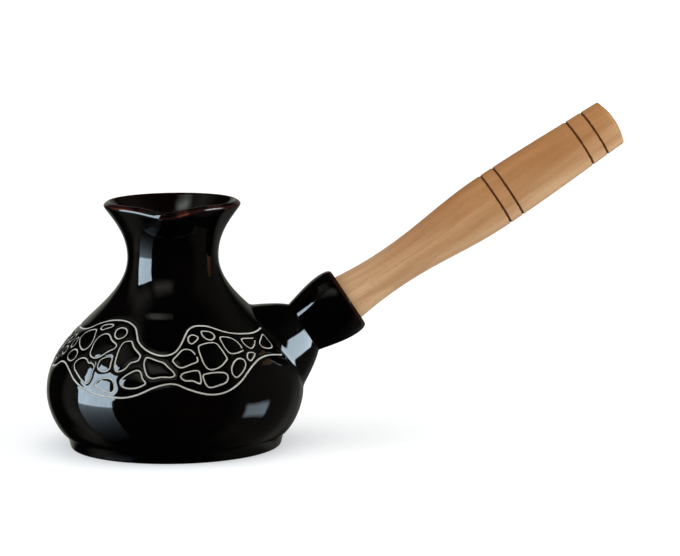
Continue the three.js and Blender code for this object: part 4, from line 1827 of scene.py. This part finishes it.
@dataclass(frozen=True)
class Beech(Finish):
    """Turned and oiled beech with burnt rings, and a painted sheen that makes its underside paler.
    """

    axis: LeaningAxis = LeaningAxis()
    # The pale wood colour, which also serves as the painted sheen on the underside.
    pale_wood_and_sheen: Colour = (0.69, 0.43, 0.235)
    warm: Colour = (0.47, 0.21, 0.07)
    streak: Colour = (0.36, 0.145, 0.038)
    late: Colour = (0.36, 0.155, 0.05)
    fleck: Colour = (0.27, 0.115, 0.04)
    burn: Colour = (0.085, 0.019, 0.0015)
    roughness: float = 0.56
    oil: float = 0.28
    ring_gap: float = 0.0046
    dust_amount: float = 0.12
    dust_grain: float = 2200
    ring_share: float = 0.26
    ray_share: float = 0.28
    pore_share: float = 0.22
    ragged: float = 0.16
    scorched: Pair = (0.12, 0.5)
    bump: Pair = (0.28, 0.00012)

    def mix(self, sheet: Sheet, place: Socket) -> dict[str, object]:
        """Lays the figure along the handle, with a painted sheen that leaves the underside paler and
        the upper side warmer, and burns the rings.

        Args:
            sheet: The material's sheet.
            place: Its Object coordinates.

        Returns:
            What the shader's inputs get, with _ for a space.
        """
        back = self.axis.matrix().inverted()
        along = sheet.add("Mapping", Vector=place, Location=back.translation,
                          Rotation=back.to_euler("XYZ")).outputs[0]
        wood = self.effect(sheet, Effect.WOOD_FIGURE, along, Ring_Gap=self.ring_gap, Fibre=1)
        dust = self.effect(sheet, Effect.FINE_DUST, place, Amount=self.dust_amount,
                           Grain=self.dust_grain)["Dust"]
        at = sheet.parts(along)
        # High on the upper side and low on the underside: a painted sheen, paler below and warmer on
        # top, as the light falls on the handle.
        upper = sheet.span(at["X"], 0.009, -0.009, 0.22, 1.1)
        slow = sheet.noise(sheet.drawn_out(along, (60, 60, 9)), 1, 3, 0.55)
        tone_and_painted_sheen = sheet.plus(sheet.times(upper, sheet.span(at["Z"], 0.005, 0.06)),
                           sheet.span(at["Z"], 0.09, 0.14, 0, 0.16),
                           sheet.span(slow, 0.35, 0.68, -0.2, 0.2))
        streaks = sheet.noise(sheet.drawn_out(along, (95, 95, 11), (2, 5, 3)), 1, 3)
        streak = sheet.times(sheet.span(streaks, 0.44, 0.64, 0, 0.75),
                             sheet.span(tone_and_painted_sheen, 0.1, 0.8, 0.35, 1))
        ragged = sheet.span(sheet.noise(place, 700, 3), 0.3, 0.7, -self.ragged, self.ragged)
        scorch = sheet.plus(self.attribute(sheet, "burnt"), ragged)
        # Painted sheen: the underside takes the pale colour and the upper side the warm one, over
        # the wood's own slow changes of tone.
        base = sheet.blend(sheet.span(tone_and_painted_sheen, 0, 1), self.pale_wood_and_sheen, self.warm)
        for share, colour in (
            (streak, self.streak),
            (sheet.times(wood["Rings"], self.ring_share), self.late),
            (sheet.span(wood["Fibres"], 0.42, 0.72, 0, 0.3), self.late),
            (sheet.times(wood["Rays"], self.ray_share), self.fleck),
            (sheet.times(wood["Pores"], self.pore_share), self.fleck),
            (dust, self.warm),
            (sheet.span(scorch, *self.scorched), self.burn),
        ):
            base = sheet.blend(share, base, colour)
        rough = sheet.span(wood["Fibres"], 0.3, 0.7, self.roughness * 0.88, self.roughness * 1.15)
        level = sheet.math("SUBTRACT", wood["Fibres"], sheet.times(wood["Pores"], 0.5))
        return {
            "Base_Color": base,
            "Roughness": sheet.plus(rough, sheet.span(scorch, *self.scorched, 0, 0.35)),
            "Specular_IOR_Level": self.oil,
            "Normal": self.relief(sheet, level, *self.bump),
        }


@dataclass(frozen=True)
class Viewpoint:
    """The photograph's camera, fitted to the pot's outline."""

    azimuth: float = math.radians(-6.0)
    elevation: float = math.radians(8.2)
    roll: float = math.radians(0.6)
    distance: float = 1.562
    reach: float = 3500.0
    target: Vector = Vector((0, 0, 0.055))
    target_pixel: Pair = (174.1, 322.95)
    frame: tuple[int, int] = (680, 556)
    film: float = 36.0

    def directions(self) -> tuple[Vector, Vector, Vector]:
        """The camera's right, up and back directions, before its roll.

        Returns:
            The three directions.
        """
        a, e = self.azimuth, self.elevation
        back = Vector((math.sin(a) * math.cos(e), -math.cos(a) * math.cos(e), math.sin(e)))
        right = Vector((math.cos(a), math.sin(a), 0))
        return right, back.cross(right), back

    def place(self) -> None:
        """Sets up the camera."""
        right, up, back = self.directions()
        right, up = (right * math.cos(self.roll) - up * math.sin(self.roll),
                     right * math.sin(self.roll) + up * math.cos(self.roll))
        across, down = ((at - size / 2) / self.reach * self.distance
                        for at, size in zip(self.target_pixel, self.frame))
        spot = self.target + back * self.distance - right * across + up * down
        lens = bpy.data.cameras.new("viewpoint")
        lens.sensor_width = self.film
        lens.lens = self.reach * self.film / self.frame[0]
        lens.clip_start, lens.clip_end = 0.05, 50.0
        camera = Bench.hang("viewpoint", lens)
        turn = Matrix((right, up, back)).transposed().to_4x4()
        camera.matrix_world = Matrix.Translation(spot) @ turn
        bpy.context.scene.camera = camera


COOL = (0.82, 1.0, 1.13)


@dataclass(frozen=True)
class Softbox:
    """A tall box of light: a lamp for the light that it sheds, and the face that gloss mirrors.

    The face runs between two azimuths in degrees and two heights, and fades below onto a table.
    """

    name: str
    near: float
    far: float
    distance: float
    low: float
    high: float
    bright: float
    table: float
    power: float
    tint: Colour


@dataclass(frozen=True)
class Glimmer:
    """A dim patch of the room: the azimuths and elevations that it spans, in degrees."""

    azimuths: Pair
    elevations: Pair
    soft: Pair
    level: float


@dataclass(frozen=True)
class Spot:
    """A dish lamp behind a honeycomb grid, so that only what is near its aim can mirror it."""

    name: str
    aim: Colour
    distance: float
    beam: Pair
    azimuths: Pair
    elevations: Pair
    soft: Pair
    bright: float
    tint: Colour = COOL


LEFT_BOX = Softbox("left_box", -53, -90, 0.7, -0.062, 0.54, 10.0, 2.3, 2.6, (0.8, 1.0, 1.17))
NECK_RADIUS = 0.03322
SPOTS = (
    Spot("root_spot", (0.055, 0.011, 0.0455), 0.25, (0.0075, 0.0088), (60, 105), (-9.5, 29),
         (1, 1), 10.5),
    Spot("lip_spot", (0.0195, 0.0225, 0.109), 0.14, (0.0032, 0.0045), (62, 106), (24, 56),
         (2, 2), 8.0),
    Spot("throat_spot", (0.0043, -0.0232, 0.1048), 0.14, (0.004, 0.0135), (-58, -20), (61, 68),
         (10, 4), 2.8, (0.9, 1.0, 0.92)),
    Spot("belly_spot", (0.042, 0.032, 0.021), 0.35, (0.02, 0.027), (66, 94), (-28, -8),
         (2, 3), 2.6),
    *(Spot(f"shoulder_spot_{number}", (right, math.sqrt(NECK_RADIUS**2 - right**2), 0.06305), 0.2,
           (0.0003, 0.0017), (-100, 10), (64, 87), (12, 2), bright, (1.0, 1.0, 0.88))
      for number, (right, bright) in enumerate(
          ((-0.0095, 0.35), (-0.0079, 0.6), (-0.0063, 0.75), (-0.0047, 0.7), (-0.0031, 0.5),
           (-0.0015, 0.35), (0.0001, 0.2)), 1)),
)
GLIMMERS = (
    Glimmer((-108, -90), (-46, -18), (6, 5), 0.08),
    Glimmer((134, 156), (-44, -2), (8, 8), 0.1),
    Glimmer((-50, -2), (42, 59), (9, 8), 0.5),
    Glimmer((-104, -62), (44, 62), (8, 8), 0.2),
    Glimmer((-114, -94), (-30, 44), (6, 8), 0.12),
    Glimmer((-128, -96), (-52, -34), (8, 6), 0.08),
    Glimmer((58, 140), (-60, 58), (8, 10), 0.05),
    Glimmer((-190, -153), (-18, 22), (5, 8), 0.32),
    Glimmer((153, 190), (-18, 22), (5, 8), 0.16),
)


@dataclass(frozen=True)
class Studio:
    """A white ground with soft light from the left, the right, above and the front."""

    viewpoint: Viewpoint = Viewpoint()
    card_depth: float = 0.9
    table_fade: float = 5.0
    room: float = 4.0
    darkness: float = 0.004
    patch_steps: int = 32
    ground_radius: float = 9.0
    ground_colour: Colour = (0.75, 0.75, 0.75)
    ground_roughness: float = 0.9
    ground_light: tuple[float, ...] = (0.25, 1.6, 0.42, 0.85)
    surround_shed: float = 0.42
    room_tint: Colour = (1, 1, 0.9)
    cloth_weave: Colour = (46, 46, 5)
    cloth_light: tuple[float, ...] = (0.3, 0.7, 0.84, 1.08)
    table_edge: float = 0.01

    def heading(self, azimuth: float, elevation: float) -> Vector:
        """A direction in degrees round from the camera, to its right, and above the ground.

        Args:
            azimuth: How far round from the camera it is, towards the right.
            elevation: How far above the ground.

        Returns:
            A direction of length 1.
        """
        right, _, back = self.viewpoint.directions()
        forward = Vector((back.x, back.y, 0)).normalized()
        a, e = math.radians(azimuth), math.radians(elevation)
        level = forward * math.cos(a) + right * math.sin(a)
        return level * math.cos(e) + Vector((0, 0, math.sin(e)))

    @staticmethod
    def lamp(name: str, place: Vector, aim: Vector, size: Pair, strength: float,
             tint: Colour) -> None:
        """Hangs a rectangular lamp that no glossy surface mirrors.

        Args:
            name: Its name.
            place: Its centre.
            aim: The point that it faces.
            size: Its width and height in metres.
            strength: Its brightness, where 1 is white.
            tint: Its colour.
        """
        light = bpy.data.lights.new(name, "AREA")
        light.shape = "RECTANGLE"
        light.size, light.size_y = size
        light.energy = strength * math.pi * size[0] * size[1]
        light.color = tint
        lamp = Bench.hang(name, light)
        lamp.location = place
        lamp.rotation_mode = "QUATERNION"
        lamp.rotation_quaternion = (place - aim).to_track_quat("Z", "Y")
        lamp.visible_glossy = False
        lamp.visible_camera = False

    @staticmethod
    def glossy_only(card: bpy.types.Object) -> None:
        """Makes a stage card that only reflections show.

        Args:
            card: The card.
        """
        for kind in ("camera", "diffuse", "transmission", "volume_scatter", "shadow"):
            setattr(card, "visible_" + kind, False)

    @staticmethod
    def surface(card: bpy.types.Object) -> Sheet:
        """Gives a card a material of its own.

        Args:
            card: The card.

        Returns:
            The material's sheet.
        """
        material = bpy.data.materials.new(card.name)
        card.data.materials.append(material)
        material.use_nodes = True
        return Sheet(material.node_tree)

    def glow(self, card: bpy.types.Object, tint: Colour) -> tuple[Sheet, bpy.types.Node]:
        """Makes a card shine.

        Args:
            card: The card.
            tint: The colour of its light.

        Returns:
            Its material's sheet and emission node.
        """
        sheet = self.surface(card)
        sheet.tree.nodes.remove(sheet.own("Principled BSDF"))
        emission = sheet.add("Emission", Color=tint)
        sheet.fill(sheet.own("Material Output"), Surface=emission.outputs[0])
        return sheet, emission

    def softbox(self, box: Softbox) -> None:
        """Sets up one soft box.

        Args:
            box: The box.
        """
        near, far = (self.heading(azimuth, 0) * box.distance for azimuth in (box.near, box.far))
        foot = max(box.low, 0)
        level = Vector((0, 0, (foot + box.high) / 2))
        size = ((near - far).length, box.high - foot)
        self.lamp(box.name, (near + far) / 2 + level, level, size, box.power, box.tint)
        Bench.clear()
        bpy.ops.mesh.primitive_plane_add(size=2, location=(0, 0, 0))
        card = Bench.label(box.name + "_face")
        corners = [(side, height) for height in (box.low - self.card_depth, box.high)
                   for side in (near, far)]
        for vertex, (side, height) in zip(card.data.vertices, corners):
            vertex.co = (side.x, side.y, height)
        sheet, emission = self.glow(card, box.tint)
        place = sheet.place()
        height = sheet.parts(place)["Z"]
        edge = self.table_edge
        cloth = sheet.noise(sheet.drawn_out(place, self.cloth_weave), 1)
        lit = sheet.span(height, box.low - edge, box.low + edge, 0, box.bright)
        depth = sheet.times(sheet.math("SUBTRACT", height, box.low), self.table_fade)
        under = sheet.times(sheet.math("EXPONENT", depth), box.table)
        under = sheet.math("MINIMUM", under, box.table)
        sheet.fill(emission, Strength=sheet.times(sheet.math("MAXIMUM", lit, under),
                                                  sheet.span(cloth, *self.cloth_light)))
        self.glossy_only(card)

    def spot(self, spot: Spot) -> None:
        """Sets up the face of one honeycomb spot: a patch of a ball round its aim.

        Args:
            spot: The spot.
        """
        right, forward, high = spot.aim
        aim = self.heading(90, 0) * right + self.heading(0, 0) * forward + Vector((0, 0, high))
        steps = self.patch_steps
        Bench.clear()
        bpy.ops.mesh.primitive_grid_add(x_subdivisions=steps, y_subdivisions=steps, size=1)
        card = Bench.label(spot.name)
        spans = [(low - soft, high - low + 2 * soft)
                 for (low, high), soft in zip((spot.azimuths, spot.elevations), spot.soft)]
        for vertex in card.data.vertices:
            azimuth, elevation = (low + (at + 0.5) * width
                                  for at, (low, width) in zip(vertex.co, spans))
            vertex.co = aim + self.heading(azimuth, elevation) * spot.distance
        Bench.polish(card)
        sheet, emission = self.glow(card, spot.tint)
        sheet.fill(emission, Strength=spot.bright)
        across = sheet.parts(sheet.add("TexCoord").outputs["UV"])
        facing = sheet.add("LayerWeight", Blend=0.5).outputs["Facing"]
        inner, outer = (1 - math.sqrt(1 - (edge / spot.distance) ** 2) for edge in spot.beam)
        share = sheet.span(facing, inner, outer, 1, 0)
        for axis, (_, width), soft in zip("XY", spans, spot.soft):
            edge = soft / width
            share = sheet.times(sheet.window(across[axis], (edge, 1 - edge), edge), share)
        mixed = sheet.add("MixShader")
        clear = sheet.add("BsdfTransparent").outputs[0]
        for target, source in zip(mixed.inputs, (share, clear, emission.outputs[0])):
            sheet.feed(target, source)
        sheet.fill(sheet.own("Material Output"), Surface=mixed.outputs[0])
        self.glossy_only(card)

    def dim_room(self) -> None:
        """Encloses the set in a dark room with a few dim patches, for reflections only."""
        Bench.clear()
        bpy.ops.mesh.primitive_uv_sphere_add(segments=48, ring_count=24, radius=self.room,
                                             location=(0, 0, 0))
        room = Bench.label("dim_room")
        sheet, emission = self.glow(room, self.room_tint)
        way = sheet.add("VectorMath", operation="NORMALIZE", Vector=sheet.place()).outputs[0]
        right, forward, up = (
            self.along(sheet, way, axis)
            for axis in (self.heading(90, 0), self.heading(0, 0), Vector((0, 0, 1)))
        )
        azimuth = sheet.math("DEGREES", sheet.math("ARCTAN2", right, forward))
        elevation = sheet.math("DEGREES", sheet.math("ARCSINE", up))
        patches = [
            sheet.times(sheet.window(azimuth, glimmer.azimuths, glimmer.soft[0]),
                        sheet.window(elevation, glimmer.elevations, glimmer.soft[1]),
                        glimmer.level)
            for glimmer in GLIMMERS
        ]
        sheet.fill(emission, Strength=sheet.plus(*patches, self.darkness))
        self.glossy_only(room)

    @staticmethod
    def along(sheet: Sheet, way: Socket, axis: Vector) -> Socket:
        """How far a direction goes along an axis.

        Args:
            sheet: The material's sheet.
            way: The direction.
            axis: The axis.

        Returns:
            The distance.
        """
        dot = sheet.add("VectorMath", operation="DOT_PRODUCT", Vector=way)
        dot.inputs[1].default_value = axis
        return dot.outputs["Value"]

    @staticmethod
    def seen(sheet: Sheet) -> Socket:
        """1 for what the camera, gloss and glass see, and 0 for the light that is shed.

        Args:
            sheet: The sheet of the material or the surround.

        Returns:
            The share.
        """
        path = sheet.add("LightPath").outputs
        kinds = (path[f"Is {kind} Ray"] for kind in ("Camera", "Glossy", "Transmission"))
        return reduce(lambda one, other: sheet.math("MAXIMUM", one, other), kinds)

    def world(self) -> None:
        """Sets an even white surround."""
        world = bpy.data.worlds.new("surround")
        bpy.context.scene.world = world
        world.use_nodes = True
        sheet = Sheet(world.node_tree)
        sheet.fill(sheet.own("Background"), Color=(1, 1, 1),
                   Strength=sheet.span(self.seen(sheet), 0, 1, self.surround_shed, 1))

    def floor(self) -> None:
        """Lays the white ground, which keeps the pot's shadow."""
        Bench.clear()
        bpy.ops.mesh.primitive_circle_add(vertices=96, radius=self.ground_radius,
                                          fill_type="NGON", location=(0, 0, 0))
        ground = Bench.label("ground")
        sheet = self.surface(ground)
        length = sheet.add("VectorMath", operation="LENGTH", Vector=sheet.place())
        even = sheet.span(length.outputs["Value"], *self.ground_light)
        sheet.fill(sheet.own("Principled BSDF"), Base_Color=self.ground_colour,
                   Roughness=self.ground_roughness, Specular_IOR_Level=0, Emission_Color=(1, 1, 1),
                   Emission_Strength=sheet.times(self.seen(sheet), even))
        ground.visible_glossy = False

    def build(self) -> None:
        """Sets up the whole studio."""
        self.world()
        self.floor()
        self.dim_room()
        self.softbox(LEFT_BOX)
        for spot in SPOTS:
            self.spot(spot)
        level = Vector((0, 0, 0.155))
        middle = Vector((0.06, 0, 0.06))
        self.lamp("right", self.heading(81, 0) * 0.47 + level, level, (0.34, 0.31), 2.6, COOL)
        self.lamp("ceiling", Vector((0.1, -0.25, 1.5)), middle, (1.6, 1.6), 1.2,
                  (1.0, 0.985, 0.96))
        self.lamp("front", self.heading(20, 12) * 1.8, middle, (1.6, 0.7), 1.6,
                  (1.0, 0.98, 0.95))
        self.viewpoint.place()
        bpy.context.scene.view_settings.view_transform = "Standard"


def dress(piece: bpy.types.Object, materials: list[bpy.types.Material], body: str,
          node: str) -> None:
    """Puts a finished piece in the place of its solid.

    Args:
        piece: The piece.
        materials: Its materials, in the order of its faces' numbers.
        body: The body that it rides on.
        node: The solid that it replaces.
    """
    for material in materials:
        piece.data.materials.append(material)
    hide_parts(node)
    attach(piece, body)
    log.info("%s: %d faces on %s", piece.name, len(piece.data.polygons), body)


def main() -> None:
    """Builds the pot, its socket, its handle and the studio, in that order."""
    logging.basicConfig(level=logging.INFO, format="%(name)s: %(message)s")
    glaze = Glaze("glossy_black_glaze").material()
    lines = Clay("carved_line").material()
    base = Clay("bare_base", light=(0.33, 0.13, 0.065), dark=(0.24, 0.085, 0.04)).material()
    dress(ThrownPot().build(), [glaze, lines, base], "pot", "pot_body")
    dress(LutedSocket().build(), [glaze], "pot", "handle_socket")
    beech = Beech("turned_beech").material()
    dress(TurnedHandle().build(), [beech], "handle", "wooden_handle")
    Studio().build()


if __name__ == "__main__":
    main()
